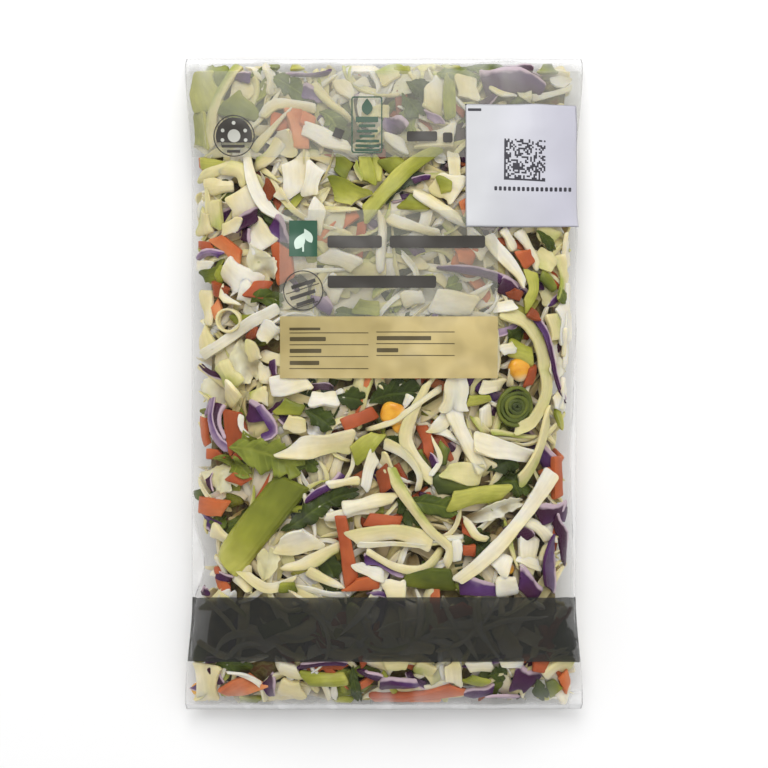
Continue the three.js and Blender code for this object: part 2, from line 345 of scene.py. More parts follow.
# How each kind is cut: its thickness as a share of its width and at most, in millimetres; how square
# its section is (1 is oval); how springy it is; how much it tapers, swells, bows, rolls, cups and
# slants; how often it is pointed; how round its ends are; and how far its tone drifts
SHAPES = (
    "share", "most", "square", "rounds", "taper", "uneven", "bow", "roll", "cup", "slant", "pointed", "blunt",
    "drift",
)
CUTS = {
    kind: dict(zip(SHAPES, values))
    for kind, values in {
        "shred": (0.45, 1.8, 0.5, 40, 0.3, 0.12, 0.06, 0.28, 0.25, 0.5, 0.5, 0.25, 0.26),
        "slab": (0.34, 2.4, 0.36, 60, 0.3, 0.12, 0.05, 0.18, 0.2, 0.38, 0.1, 0.16, 0.24),
        "red": (0.33, 1.5, 0.42, 40, 0.3, 0.14, 0.07, 0.22, 0.25, 0.5, 0.35, 0.15, 0.2),
        "carrot": (0.5, 3.0, 0.32, 300, 0.16, 0.05, 0.015, 0.14, 0.0, 0.6, 0.1, 0.08, 0.12),
        "celery": (0.4, 2.6, 0.45, 200, 0.25, 0.08, 0.03, 0.15, 0.25, 0.5, 0.2, 0.15, 0.22),
        "stalk": (0.34, 6, 0.6, 300, 0.04, 0.02, 0.008, 0.0, 0.2, 0.2, 0.0, 0.03, 0.2),
    }.items()
}


def bowed(path, most, rng):
    """A path with a slight bend of its own, up to that share of its length to a side."""
    t = np.linspace(-1, 1, len(path))[:, None]
    chord = path[-1] - path[0]
    aside = np.array([-chord[1], chord[0]])
    bow = aside * rng.uniform(-most, most) * (1 - t**2)
    snake = aside * rng.uniform(-most, most) * t * (1 - t**2)
    return path + bow + snake


def strip(pile, kind, tone, width, spine, rng, pointed=1.0):
    """One cut strip, laid on the pile. pointed is how readily its ends come out pointed."""
    cut, is_stalk = CUTS[kind], kind == "stalk"
    thickness = min(cut["share"] * width, cut["most"]) * rng.uniform(0.8, 1.2)
    spine = kept_inside(bowed(spine, cut["bow"], rng), 4 if is_stalk else width)
    laid = pile.lay(spine, width, thickness, cut["rounds"])
    even = np.arange(len(spine))
    last = len(spine) - 1
    near_ends = np.concatenate([[0, 0.12, 0.45], even[1:-1], [last - 0.45, last - 0.12, last]])
    centre, side, up = [np.stack([np.interp(near_ends, even, v[:, i]) for i in range(3)], -1) for v in laid]
    reach = np.concatenate([[0], np.cumsum(np.linalg.norm(np.diff(centre, axis=0), axis=1))])
    length = max(reach[-1], 1)
    t = 2 * reach / length - 1
    taper = cut["taper"] * rng.uniform(-1, 1) * t
    swelling = cut["uneven"] * np.sin(t * rng.uniform(2, 5) + rng.uniform(0, 6))
    shape = 1 + taper + swelling
    high = np.ones_like(t)
    for end in (reach, length - reach):
        nearness = 1 - np.clip(end / (cut["blunt"] * width / 2 + 0.3), 0, 1)
        shape = shape * (1 - min(0.6, 2 * cut["blunt"]) * (1 - np.sqrt(1 - nearness**2)))
        high = high * (0.5 + 0.5 * np.clip(end / 0.7, 0, 1))
        if rng.random() < pointed * cut["pointed"] * min(1, 5 / width) ** 1.5:
            shape = shape * (0.25 + 0.75 * np.clip(end / (length * rng.uniform(0.25, 0.5)), 0, 1) ** 0.7)
    roll = rng.normal(0, cut["roll"]) + rng.normal(0, 1.3 * cut["roll"]) * t
    c, s = np.cos(roll)[:, None], np.sin(roll)[:, None]
    side, up = side * c + up * s, up * c - side * s
    most = 0.28 * length / (0.5 * width)
    slopes = np.clip(rng.normal(0, cut["slant"], 2), -most, most)
    slope = slopes[0] * np.maximum(t, 0) ** 3 + slopes[1] * np.maximum(-t, 0) ** 3
    # the large stalk's tone falls steadily towards its upper end: painted shade where the leaves lie over it.
    # Other strips drift at random
    drifts = (-cut["drift"], 0) if is_stalk else rng.uniform(-cut["drift"], cut["drift"], 2)
    return dict(
        kind=kind,
        face=pile.side,
        centre=centre,
        side=side,
        up=up,
        slant=unit(np.gradient(centre, axis=0)) * (slope * width / 2)[:, None],
        half_width=width / 2 * shape,
        half_thickness=thickness / 2 * high,
        cup=rng.normal(0, 1) * cut["cup"] * width / 2,
        square=cut["square"],
        tone=np.clip(tone + drifts[0] * t, 0, 1),
        drift=drifts[1],
        reach=reach + (0 if is_stalk else rng.uniform(0, 200)),
        closed=False,
    )


def ring(pile, kind, tone, radius, place, rng, wall, height=3.2):
    """One ring cut across a hollow stem."""
    turn = np.linspace(0, 2 * math.pi, 18, endpoint=False)
    out = np.stack([np.cos(turn), np.sin(turn)], -1)
    wobble = 1 + 0.06 * np.sin(2 * turn + rng.uniform(0, 6)) + 0.03 * np.sin(3 * turn + rng.uniform(0, 6))
    loop = np.asarray(place) + rng.uniform(-0.3, 0.3, 2) + out * radius * wobble[:, None]
    ground = read_grid(pile.height, loop[:, 0], loop[:, 1])
    slope = np.linalg.lstsq(np.c_[out, np.ones(len(out))], ground, rcond=None)[0]
    top = out @ slope[:2] * 0.6 + ground.mean() * 0.5 + ground.max() * 0.5 + height
    centre, normal = pile.placed(loop[:, 0], loop[:, 1], top, height)
    for r in np.arange(0.5, radius + 0.5, 0.7):
        spot = np.asarray(place) + out * r
        pile.mark(spot[:, 0], spot[:, 1], top - 0.8)
    radial = unit(centre - centre.mean(0))
    return dict(
        kind=kind,
        face=pile.side,
        centre=centre,
        side=normal,
        up=radial,
        slant=np.zeros((len(turn), 3)),
        half_width=np.full(len(turn), height / 2),
        half_thickness=wall / 2 * (1 + 0.2 * np.sin(3 * turn)),
        cup=0,
        square=0.5,
        tone=tone,
        drift=0.0,
        reach=turn * radius,
        closed=True,
    )


# How each thin sheet is torn: the length of its lobes (0 for none), how deep its teeth and its waves
# are and how much its edges curl up, in millimetres
TEARS = {"leaf": (8.5, 0.2, 0.55, 0.5), "frill": (0, 0.05, 0.75, 1.6)}


def leaf(pile, kind, tone, width, spine, rng):
    """A torn piece of leaf that drapes over the pile: a thin wavy sheet, lobed or plain."""
    lobe_length, teeth, waves, curl = TEARS[kind]
    spine = kept_inside(bowed(spine, 0.1, rng), width)
    even = np.arange(len(spine))
    t = np.linspace(0, 1, 3 * len(spine) + 3)
    v = np.linspace(-1, 1, 13)
    length = np.linalg.norm(np.diff(spine, axis=0), axis=1).sum()
    ahead = np.clip(t[:, None] * (1 - 0.2 * width / length) + 0.22 * width / length * np.abs(v), 0, 1)
    path = np.stack([np.interp(ahead * even[-1], even, spine[:, i]) for i in (0, 1)], -1)
    middle = np.stack([np.interp(t * even[-1], even, spine[:, i]) for i in (0, 1)], -1)
    along = unit(np.gradient(middle, axis=0))
    left = np.stack([-along[:, 1], along[:, 0]], -1)
    body = np.sqrt(np.maximum(0.02, np.sin(math.pi * np.clip(t**1.2 * 0.95 + 0.03, 0, 1))))
    lobes = max(1.5, length / (lobe_length or 10) * rng.uniform(0.85, 1.2))
    grid = path.copy()

    def wobble(turns, seed):
        return lattice_noise(turns, t * 0 + rng.uniform(0, 60), seed)

    for edge in (-1, 1):
        gait = t * lobes + 0.45 * wobble(t * lobes / 1.4, 7) + rng.uniform(0, 1)
        lobe = np.abs(np.sin(math.pi * gait)) ** 0.7 if lobe_length else 0.8
        tooth = np.abs((gait * 3 + rng.uniform(0, 1)) % 1 - 0.5)
        uneven = wobble(t * len(t) / 2, 5)
        broad = wobble(t * length / 11, 8) if lobe_length else 0
        ragged = body * (0.58 + 0.42 * lobe + teeth * tooth + 0.12 * uneven + 0.3 * broad)
        mask = (v * edge) >= 0
        grid[:, mask] += left[:, None] * (v[mask] * width / 2)[None, :, None] * ragged[:, None, None]
    x, y = grid[..., 0], grid[..., 1]
    ground = stretched_over(read_grid(pile.height, x, y), 0.0, 12)
    wave = waves * lattice_noise(x / 4.0 + rng.uniform(0, 50), y / 4.0, 6) - 0.35 * np.exp(-((v / 0.1) ** 2))
    top = ground + 1.0 + wave + curl * rng.uniform(0.3, 1) * v**2
    pile.mark(x.ravel(), y.ravel(), top.ravel())
    centre, normal = pile.placed(x, y, top, 0.4)
    return dict(kind=kind, face=pile.side, centre=centre, normal=normal, tone=tone, reach=t * length, v=v)


def kernel(pile, place, size, turn):
    """One sweetcorn kernel: a rounded wedge with a pale tip."""
    x, y = np.asarray(place[0], float), np.asarray(place[1], float)
    ground = float(read_grid(pile.height, x, y))
    centre, normal = pile.placed(x, y, np.asarray(ground + 6.5), 6.5)
    spots = np.linspace(-4, 4, 9)
    sx, sy = np.meshgrid(x + spots, y + spots)
    pile.mark(sx.ravel(), sy.ravel(), np.full(sx.size, ground + 5.8))
    return dict(kind="corn", face=pile.side, centre=centre, normal=normal, size=size, turn=turn, tone=0.5)


def wandering(rng, length, bend):
    """A random strip's path inside the filling."""
    place = np.array([rng.uniform(-86, 86), rng.uniform(-145, 145)])
    heading, curl = rng.uniform(0, 2 * math.pi), rng.normal(0, bend)
    path = [place]
    for _ in range(int(length / WANDER_STEP)):
        curl += rng.normal(0, bend * 0.35)
        heading += curl
        place = place + WANDER_STEP * np.array([math.cos(heading), math.sin(heading)])
        path.append(place)
    path = np.array(path)
    x, y = path.T
    inside = (np.abs(x) < filled_half_width(x, y) - 1.5) & (np.abs(y) < BODY_END - 1)
    if not inside[0]:
        return None
    stop = len(path) if inside.all() else int(np.argmin(inside))
    return path[:stop] if stop >= 4 else None


# What a random handful holds: share, width, length and bend of each kind, and its range of tones
MIX = [
    ("shred", 0.47, (3.2, 6.5), (26, 62), 0.10, (0.0, 0.7)),
    ("slab", 0.19, (7, 13), (12, 26), 0.05, (0.0, 0.7)),
    ("frill", 0.06, (8, 14), (14, 26), 0.08, (0.1, 0.8)),
    ("red", 0.06, (3, 8), (10, 34), 0.10, (0.0, 0.8)),
    ("carrot", 0.10, (4, 6), (13, 28), 0.01, (0.1, 0.8)),
    ("celery", 0.06, (4, 9), (9, 24), 0.03, (0.1, 0.9)),
    ("leaf", 0.06, (7, 13), (14, 28), 0.05, (0.1, 0.8)),
]
FINE_MIX = [
    ("shred", 0.70, (1.6, 3.6), (14, 46), 0.14, (0.0, 0.8)),
    ("slab", 0.06, (5, 8), (8, 16), 0.05, (0.0, 0.75)),
    ("frill", 0.04, (5, 9), (10, 18), 0.08, (0.0, 0.8)),
    ("red", 0.06, (1.6, 4), (8, 26), 0.14, (0.0, 0.9)),
    ("carrot", 0.05, (2.5, 4.5), (8, 20), 0.01, (0.1, 0.8)),
    ("celery", 0.06, (2.5, 5), (8, 18), 0.05, (0.1, 0.9)),
    ("leaf", 0.03, (5, 8), (9, 18), 0.08, (0.3, 1.0)),
]


def handful(pile, mix, count, rng):
    """Random pieces, as they fall."""
    kinds = rng.choice(len(mix), count, p=[m[1] for m in mix])
    pieces = []
    for index in kinds:
        kind, _, widths, lengths, bend, tones = mix[index]
        path = wandering(rng, rng.uniform(*lengths), bend)
        if path is None:
            continue
        width, tone = rng.uniform(*widths), rng.uniform(*tones)
        if kind in TEARS:
            pieces.append(leaf(pile, kind, tone, width, path, rng))
        else:
            pieces.append(strip(pile, kind, tone, width, curve_through(path, WANDER_STEP), rng))
    return pieces


# The pieces that lie uppermost, as the camera sees them: kind, tone, width, and the points its path
# runs through. Each lies on those before it. Tones run from 0 to 1 over the kind's own colours.
UPPERMOST = [
    # dark leaves deep between the rest
    ("leaf", 0.1, 15, (-7, -9), (17, -4)),
    ("leaf", 0.15, 10, (-22, -5), (-9, -8)),
    ("leaf", 0.05, 11, (47, -40), (63, -36)),
    ("leaf", 0.2, 12, (50, -46), (70, -47)),
    ("leaf", 0.2, 12, (57, -2), (60, -20)),
    ("leaf", 0.15, 9, (-48, -67), (-11, -49)),
    ("leaf", 0.3, 9, (56, 25), (63, 18)),
    ("leaf", 0.25, 7, (-64, 90), (-57, 83), (-50, 71)),
    ("leaf", 0.1, 6, (1, 82), (9, 92), (19, 96)),
    ("leaf", 0.35, 8, (16, -56), (34, -58)),
    ("leaf", 0.2, 10, (-37, -12), (-23, -20)),
    ("leaf", 0.1, 8, (1, -24), (13, -31)),
    ("leaf", 0.2, 13, (36, -64), (51, -78)),
    ("celery", 0.2, 9, (22, -45), (45, -50)),
    ("celery", 0.3, 10, (9, -89), (32, -90)),
    ("leaf", 0.25, 11, (5, -52), (14, -66)),
    ("leaf", 0.1, 10, (-31, -78), (-22, -90)),
    ("leaf", 0.2, 9, (10, 138.8), (22, 134.4)),
    # top left, under the pale band
    ("leaf", 0.95, 15, (-88, 136.6), (-70, 142.1)),
    ("leaf", 0.5, 12, (-52, 139.9), (-34, 132.2)),
    ("leaf", 0.6, 12, (-30, 126), (-18, 112)),
    ("celery", 0.97, 13, (-85, 143.2), (-80, 124)),
    ("celery", 0.9, 9, (-86, 124), (-84, 108)),
    ("celery", 0.5, 13, (-72, 130), (-62, 121)),
    ("red", 0.5, 6, (-68, 141), (-61, 139.9)),
    ("shred", 0.75, 5.4, (-65, 147.6), (-74, 130), (-78.5, 108)),
    ("celery", 0.45, 5, (-54, 146.5), (-48, 147.6)),
    ("celery", 0.95, 4, (-42, 148.2), (-37, 148.2)),
    ("red", 0.9, 4, (-43, 141), (-25, 142.1)),
    ("red", 0.7, 6, (-37, 134.4), (-27, 130)),
    ("shred", 0.5, 4, (-32, 137.7), (-24, 130), (-15, 122)),
    ("slab", 0.3, 7, (-21, 138.8), (-14, 131.1)),
    ("shred", 0.35, 5, (-56, 122), (-50, 128), (-40, 129), (-31, 127)),
    ("carrot", 0.6, 8, (-52, 121), (-44, 119)),
    ("carrot", 0.9, 8, (-42, 126), (-39, 117), (-38, 108)),
    ("carrot", 0.75, 7, (-38, 122), (-32, 119)),
    ("slab", 0.3, 10, (-51, 113), (-41, 110)),
    ("slab", 0.05, 7, (-37, 117), (-15, 108)),
    ("shred", 0.4, 3.6, (-43, 125), (-51, 115), (-60, 107)),
    ("shred", 0.55, 6, (-60, 101), (-53, 103), (-47, 111)),
    ("celery", 0.95, 5, (-84, 101), (-73, 100)),
    ("shred", 0.6, 5, (-85, 94), (-77, 97), (-70, 101)),
    ("slab", 0.45, 7, (-82, 90), (-70, 91)),
    ("shred", 0.65, 7, (-73, 99), (-66, 97), (-64, 91)),
    ("slab", 0.75, 8, (-78, 84), (-77, 71)),
    ("shred", 0.6, 2.6, (-81, 90), (-80, 78)),
    ("slab", 0.3, 13, (-66, 89), (-65, 75)),
    ("carrot", 0.0, 5, (-54, 92), (-51, 85)),
    ("slab", 0.2, 14, (-40.5, 104), (-38, 88)),
    ("slab", 0.12, 8, (-31, 100), (-34, 86)),
    ("slab", 0.0, 8, (-30, 84), (-33, 71)),
    ("shred", 0.3, 5, (-49, 88), (-45, 84)),
    ("shred", 0.08, 5.5, (-63, 106), (-60, 96), (-56, 88), (-50, 80), (-42, 74)),
    # top right
    ("celery", 0.5, 8, (-22, 102), (-16, 97)),
    ("slab", 0.85, 10, (8, 145.4), (-2, 138.8)),
    ("celery", 0.8, 6, (4, 146.5), (12, 145.4)),
    ("leaf", 0.3, 12, (8, 133.3), (17, 122)),
    ("leaf", 0.7, 11, (24, 144.3), (44, 138.8)),
    ("slab", 0.35, 9, (22, 138.8), (22, 124)),
    ("celery", 0.7, 5.5, (30, 139.9), (30, 121)),
    ("slab", 0.4, 10, (37, 141), (39, 130)),
    ("celery", 0.95, 4, (27, 146.5), (35, 145.4)),
    ("red", 0.6, 9, (0, 121), (9, 116)),
    ("red", 0.9, 4, (19, 123), (26, 119)),
    ("slab", 0.1, 6, (0, 114), (10, 108)),
    ("leaf", 0.6, 6, (37, 145.4), (46, 147.6), (55, 144.3)),
    ("red", 0.5, 12, (45, 137.7), (60, 137.7), (73, 134.4)),
    ("red", 0.2, 6, (53, 144.3), (60, 147.1), (68, 143.2)),
    ("celery", 0.5, 6, (71, 144.8), (78, 145.4)),
    ("shred", 0.3, 3, (48, 135.5), (54, 132.2), (61, 132.2)),
    ("slab", 0.3, 9, (15, 110), (32, 114)),
    ("celery", 0.8, 10, (-24, 90), (-10, 85)),
    ("celery", 0.95, 6, (-3, 104), (-4, 92)),
    ("celery", 0.85, 7, (-9, 104), (-7, 92)),
    ("celery", 0.6, 9, (8, 97), (1, 103)),
    ("shred", 0.85, 2.6, (-13, 101), (-10, 93)),
    ("celery", 0.9, 7, (26, 108), (12, 98), (2, 88), (-9, 77)),
    ("celery", 0.7, 8, (9, 84), (20, 83)),
    ("red", 0.5, 3, (13, 93), (21, 95)),
    ("slab", 0.3, 5.5, (31, 106), (33, 92)),
    ("slab", 0.35, 12, (22, 92), (35, 88)),
    ("celery", 0.75, 7, (25, 91), (31, 90)),
    ("shred", 0.35, 6, (13, 88), (24, 81), (37, 73)),
    # under the pale title panel
    ("shred", 0.1, 5, (-2, 79), (-1, 66), (-1, 52)),
    ("shred", 0.3, 5, (2, 76), (12, 74), (26, 68)),
    ("red", 0.5, 7, (9, 66), (18, 60)),
    ("carrot", 0.7, 8, (33, 60), (42, 58)),
    ("slab", 0.1, 8, (-27, 60), (-12, 54)),
    ("shred", 0.1, 3, (8, 60), (14, 51), (13, 42)),
    ("leaf", 0.6, 8, (28, 44), (35, 47)),
    ("slab", 0.1, 9, (-26, 48), (-20, 40)),
    ("red", 0.8, 6, (-30, 40), (-24, 33)),
    ("celery", 0.7, 7, (-13, 36), (-2, 34)),
    ("slab", 0.15, 7, (8, 38), (18, 40)),
    ("slab", 0.2, 10, (22, 38), (42, 36)),
    ("slab", 0.1, 9, (38, 68), (47, 60)),
    ("red", 0.55, 5, (24, 53), (40, 54), (54, 50), (65, 41)),
    # left, beside the title
    ("slab", 0.7, 9, (-83, 80), (-83, 68)),
    ("red", 0.7, 8, (-51, 74), (-46, 65)),
    ("carrot", 0.45, 9, (-47, 64), (-45, 47)),
    ("slab", 0.15, 12, (-60, 74), (-54, 62)),
    ("frill", 0.4, 15, (-61, 64), (-52, 47)),
    ("red", 0.2, 5, (-63, 72), (-63, 65)),
    ("red", 0.25, 6.5, (-67, 72), (-58, 78)),
    ("slab", 0.4, 6, (-74, 70), (-65, 73)),
    ("celery", 0.9, 4, (-85, 60), (-78, 62)),
    ("carrot", 0.35, 4, (-85, 63.5), (-78, 62.5)),
    ("carrot", 0.75, 6.5, (-77, 67), (-72, 63), (-66, 57)),
    ("red", 0.85, 3.6, (-86, 57), (-80, 59.5), (-74, 59)),
    ("slab", 0.0, 5, (-86, 54), (-79, 54)),
    ("celery", 0.35, 6, (-83, 49), (-76, 51)),
    ("celery", 0.6, 6, (-77, 47), (-73, 54)),
    ("slab", 0.05, 14, (-73, 54), (-63, 44)),
    ("slab", 0.08, 8, (-66, 44), (-59, 38)),
    ("carrot", 0.25, 8, (-62, 43), (-54, 43)),
    ("leaf", 0.4, 8, (-61, 37), (-53, 40), (-46, 37)),
    ("carrot", 0.25, 6, (-78, 44), (-72, 41)),
    ("slab", 0.55, 8, (-83, 43), (-81, 27)),
    ("carrot", 0.9, 5, (-78, 37), (-76, 31)),
    ("shred", 0.3, 3.6, (-73, 45), (-73, 39), (-66, 36)),
    ("celery", 0.75, 7, (-69, 28), (-61, 29)),
    # left, beside the gold panel
    ("slab", 0.55, 9, (-83, 24), (-80, 14)),
    ("slab", 0.1, 10, (-57, 26), (-50, 22)),
    ("carrot", 0.0, 4, (-64, 20), (-58, 24)),
    ("frill", 0.4, 14, (-67, 21), (-65, 10), (-60, 1)),
    ("slab", 0.55, 6.5, (-61, 20), (-59, 11)),
    ("shred", 0.3, 6, (-56, 9), (-54, 0)),
    ("slab", 0.85, 10, (-75, 10), (-68, -2)),
    ("slab", 0.5, 10, (-72, -1), (-68, -9)),
    ("slab", 0.6, 8, (-58, -2), (-56, -9)),
    ("red", 0.4, 3.2, (-51, 11), (-50, 4)),
    ("red", 0.1, 3.4, (-34, -1.5), (-23, -1.5)),
    ("slab", 0.15, 9, (-52, -1), (-43, -1), (-34, 1)),
    ("slab", 0.1, 7, (-34, -7), (-21, -7)),
    ("shred", 0.12, 5.3, (-48, 35), (-62, 26), (-74, 17), (-83, 13)),
    # left, below it
    ("carrot", 0.2, 10, (-70, -12), (-67, -29)),
    ("carrot", 0.55, 5, (-83, -15), (-82, -28)),
    ("carrot", 0.4, 4.5, (-82, -32), (-75, -32)),
    ("carrot", 0.3, 4.5, (-69, -32), (-61, -33)),
    ("red", 0.15, 6, (-75, -9), (-76, -18), (-73, -26)),
    ("red", 0.9, 3.4, (-82, -14), (-78, -6), (-79, -15), (-77, -23), (-71, -31)),
    ("red", 0.4, 9, (-62, -11), (-56, -17)),
    ("red", 0.8, 4.5, (-57, -10), (-52, -16), (-50, -22), (-56, -25)),
    ("shred", 0.1, 2.5, (-65, -14), (-65, -20), (-62, -24)),
    ("celery", 0.55, 6.5, (-48, -10), (-37, -12)),
    ("slab", 0.5, 7, (-45, -17), (-36, -19)),
    # centre
    ("celery", 0.85, 8.5, (-14, -33), (-2, -23)),
    ("carrot", 0.4, 6, (-19, -19), (-4, -13)),
    ("shred", 0.1, 3.6, (9, -11), (12, -5)),
    ("shred", 0.55, 5.5, (20, 1), (14, -14), (12, -24), (16, -34), (22, -43)),
    ("shred", 0.35, 2.8, (-8, -21), (4, -18), (12, -13), (20, -7), (27, -2)),
    ("carrot", 0.3, 5, (17, -19), (20, -26), (20, -34)),
    ("red", 0.5, 4, (21, -32), (24, -38)),
    ("shred", 0.15, 4, (23, -20), (29, -23), (35, -27)),
    ("shred", 0.2, 2.6, (22, -24), (26, -34), (21, -42)),
    ("slab", 0.7, 9, (27, -40), (45, -41)),
    ("shred", 0.2, 6, (33, -6), (28, -15), (20, -21)),
    ("slab", 0.15, 7.5, (33, 0), (33, -12), (38, -26), (45, -40)),
    ("slab", 0.25, 11.5, (33, 4), (31, -13)),
    ("slab", 0.1, 5.5, (-4, -32), (-8, -40), (-9, -48)),
    ("shred", 0.45, 6, (-1, -33), (4, -42), (10, -50)),
    ("carrot", 0.1, 6, (-1, -38), (1, -49)),
    ("shred", 0.35, 4, (0, -27), (8, -32), (15, -42), (15, -49)),
    # right of centre
    ("celery", 0.9, 8, (57, 17), (68, 12)),
    ("carrot", 0.2, 4.5, (68, 8), (66, -1)),
    ("slab", 0.35, 6, (44, -1.5), (55, 0)),
    ("celery", 0.95, 4.6, (38, -8), (49, -6.5)),
    ("slab", 0.3, 6, (46, -10), (47, -20)),
    ("shred", 0.75, 3.6, (41, -15), (47, -22)),
    ("shred", 0.1, 5, (53, 15), (60, 17)),
    ("celery", 0.8, 4.5, (79, -11), (81, -20)),
    ("shred", 0.75, 2.8, (49, -22), (60, -23.5), (71, -24)),
    ("slab", 0.05, 8.5, (41, -26), (54, -29), (69, -33)),
    ("shred", 0.72, 7.6, (54, 33), (64, 28), (71, 18), (73, 4), (72, -7), (67, -17), (60, -21)),
    ("shred", 0.7, 6.4, (75, -13), (73, -24), (69, -34), (62, -45)),
    ("slab", 0.7, 9, (77, 32), (81, 20)),
    ("frill", 0.17, 9, (78, 16), (78, 2)),
    ("slab", 0.1, 6, (84, 26), (84, 12)),
    ("slab", 0.02, 7, (81, 37), (85, 18)),
    ("shred", 0.07, 5, (86, 46), (84, 32), (86, 8)),
    ("slab", 0.17, 7, (84, 69), (85, 52)),
    ("slab", 0.02, 6, (86, 3), (85, -12)),
    ("slab", 0.17, 5, (79, -4), (80, -12)),
    ("red", 0.45, 3.2, (67, 34), (73, 26), (78, 16), (81, 5), (83, -8)),
    ("carrot", 0.5, 6, (79, -33), (80, -52)),
    # right, above it
    ("red", 0.15, 8, (53, 46), (62, 41)),
    ("carrot", 0.1, 5, (57, 42), (63, 40)),
    ("slab", 0.75, 9, (71, 60), (78, 53)),
    ("shred", 0.27, 5, (61, 70), (66, 62), (71, 54)),
    ("slab", 0.7, 7.5, (70, 71), (79, 66)),
    ("leaf", 0.2, 4, (69, 70), (78, 61)),
    ("carrot", 0.5, 6.5, (63, 61), (67, 54)),
    ("shred", 0.17, 4.6, (54, 71), (60, 61)),
    ("shred", 0.12, 6, (47, 68), (56, 57), (64, 45)),
    ("celery", 0.45, 5, (72, 50), (79, 43)),
    ("shred", 0.8, 4.6, (80, 59), (81, 48), (80, 38)),
    ("celery", 1.0, 5, (67, 52), (69, 43), (65, 35)),
    ("leaf", 0.6, 5, (80, 44), (83, 37)),
    ("slab", 0.17, 5, (51, 35), (60, 36)),
    ("carrot", 0.1, 5, (66, 33), (71, 30)),
    # lower left
    ("slab", 0.45, 11, (-67, -92), (-62, -88)),
    ("frill", 0.5, 12, (-56, -91), (-54, -75)),
    ("carrot", 0.6, 8, (-85, -55), (-73, -57)),
    ("frill", 0.45, 14, (-84, -40), (-69, -48)),
    ("red", 0.2, 3.2, (-80, -42), (-78, -49)),
    ("carrot", 0.4, 5, (-71, -42), (-63, -45)),
    ("slab", 0.25, 11, (-49, -74), (-32, -70)),
    ("shred", 0.5, 6, (-47, -84), (-33, -81), (-20, -75)),
    ("shred", 0.45, 4.5, (-65, -86), (-52, -92), (-40, -88)),
    ("shred", 0.4, 4.5, (-35, -85), (-18, -94)),
    ("celery", 0.45, 5, (-48, -93), (-40, -93)),
    ("red", 0.3, 4, (-77, -87), (-70, -89)),
    ("red", 0.3, 4, (-84, -93), (-80, -95)),
    ("slab", 0.35, 6, (-79, -66), (-72, -72)),
    ("stalk", 0.66, 16.5, (-73, -83), (-42, -44)),
    ("leaf", 0.45, 9, (-49, -37), (-40, -33), (-30, -38)),
    ("leaf", 0.85, 8, (-78, -34), (-70, -37), (-61, -42)),
    ("leaf", 0.8, 13, (-64, -21), (-57, -30), (-52, -38)),
    ("leaf", 0.85, 17, (-71, -29), (-55, -34), (-37, -39)),
    ("slab", 0.4, 10, (-45, -30), (-30, -27), (-14, -26)),
    # lower middle
    ("red", 0.6, 4, (-36, -54), (-19, -41)),
    ("shred", 0.35, 3.6, (-26, -46), (-11, -44)),
    ("shred", 0.2, 4.2, (-27, -61), (-3, -58)),
    ("carrot", 0.45, 6, (-20, -60), (-17, -76), (-15, -91)),
    ("shred", 0.3, 6, (-19, -57), (6, -52)),
    ("carrot", 0.3, 5.5, (-8, -62), (8, -63)),
    ("slab", 0.35, 9, (0, -94), (10, -94)),
    ("carrot", 0.55, 6, (-16, -92), (-2, -90)),
    ("slab", 0.05, 5.5, (-13, -82), (0, -88)),
    ("red", 0.7, 5, (-9, -80), (8, -86)),
    ("leaf", 0.4, 8, (13, -87), (22, -84)),
    ("leaf", 0.45, 11, (9, -55), (34, -58)),
    ("slab", 0.5, 8, (-15, -71), (4, -69), (22, -73)),
    ("shred", 0.3, 2.4, (-12, -73), (4, -71), (20, -74)),
    ("shred", 0.55, 4, (-8, -76), (5, -82), (18, -83), (27, -75)),
    ("shred", 0.65, 5, (2, -38), (12, -56), (20, -68), (29, -76), (28, -83)),
    ("slab", 0.05, 4.5, (33, -71), (33, -81)),
    # lower right
    ("carrot", 0.2, 5, (36, -66), (42, -68)),
    ("carrot", 0.3, 5, (36, -76), (42, -76)),
    ("slab", 0.1, 9, (52, -86), (56, -78)),
    ("red", 0.7, 8, (34, -91), (52, -94)),
    ("slab", 0.22, 10, (65, -86), (68, -68)),
    ("red", 0.35, 9, (62, -88), (71, -97)),
    ("slab", 0.07, 9.5, (51, -93), (61, -92)),
    ("celery", 0.95, 8.5, (30, -54), (44, -50), (56, -50)),
    ("frill", 0.27, 8, (38, -62), (50, -57), (64, -54)),
    ("shred", 0.4, 4, (37, -62), (42, -69), (48, -71)),
    ("shred", 0.9, 2.6, (56, -62), (58, -73), (61, -84)),
    ("red", 0.3, 7, (58, -64), (68, -70)),
    ("shred", 0.22, 6.4, (61, -60), (71, -64), (77, -72)),
    ("red", 0.3, 9, (70, -60), (85, -57)),
    ("red", 0.2, 5.5, (78, -61), (84, -71), (83, -82)),
    ("red", 0.6, 12, (77.5, -72), (76, -94)),
    ("shred", 0.17, 4.5, (60, -80), (71, -83)),
    ("shred", 0.22, 6.5, (77, -40), (62, -58), (47, -75), (33, -90)),
    # below the dark band
    ("slab", 0.4, 12, (-81, -128), (-80, -144.9)),
    ("red", 0.1, 4, (-79, -129.1), (-74, -137)),
    ("leaf", 0.3, 7, (-77, -128), (-60, -129.1)),
    ("carrot", 0.75, 9, (-74, -141.6), (-57, -135.9)),
    ("shred", 0.1, 3, (-72, -131.4), (-62, -132.5), (-55, -137), (-54, -144.9)),
    ("red", 0.3, 5, (-53, -134.8), (-51, -142.7)),
    ("slab", 0.4, 8, (-49, -129.1), (-38, -132.5)),
    ("slab", 0.5, 10, (-48, -138.2), (-37, -140.4)),
    ("red", 0.4, 3.4, (-39, -128.6), (-17, -128)),
    ("celery", 0.8, 7.5, (-36, -134.8), (-17, -134.8)),
    ("celery", 0.6, 5, (-66, -143.8), (-56, -146.1)),
    ("celery", 0.85, 5, (-22, -146.1), (-14, -146.1)),
    ("leaf", 0.2, 5, (-14, -129.1), (-11, -144.9)),
    ("slab", 0.7, 7, (0, -128), (11, -128)),
    ("red", 0.35, 5, (-10, -130.3), (-1, -133.7)),
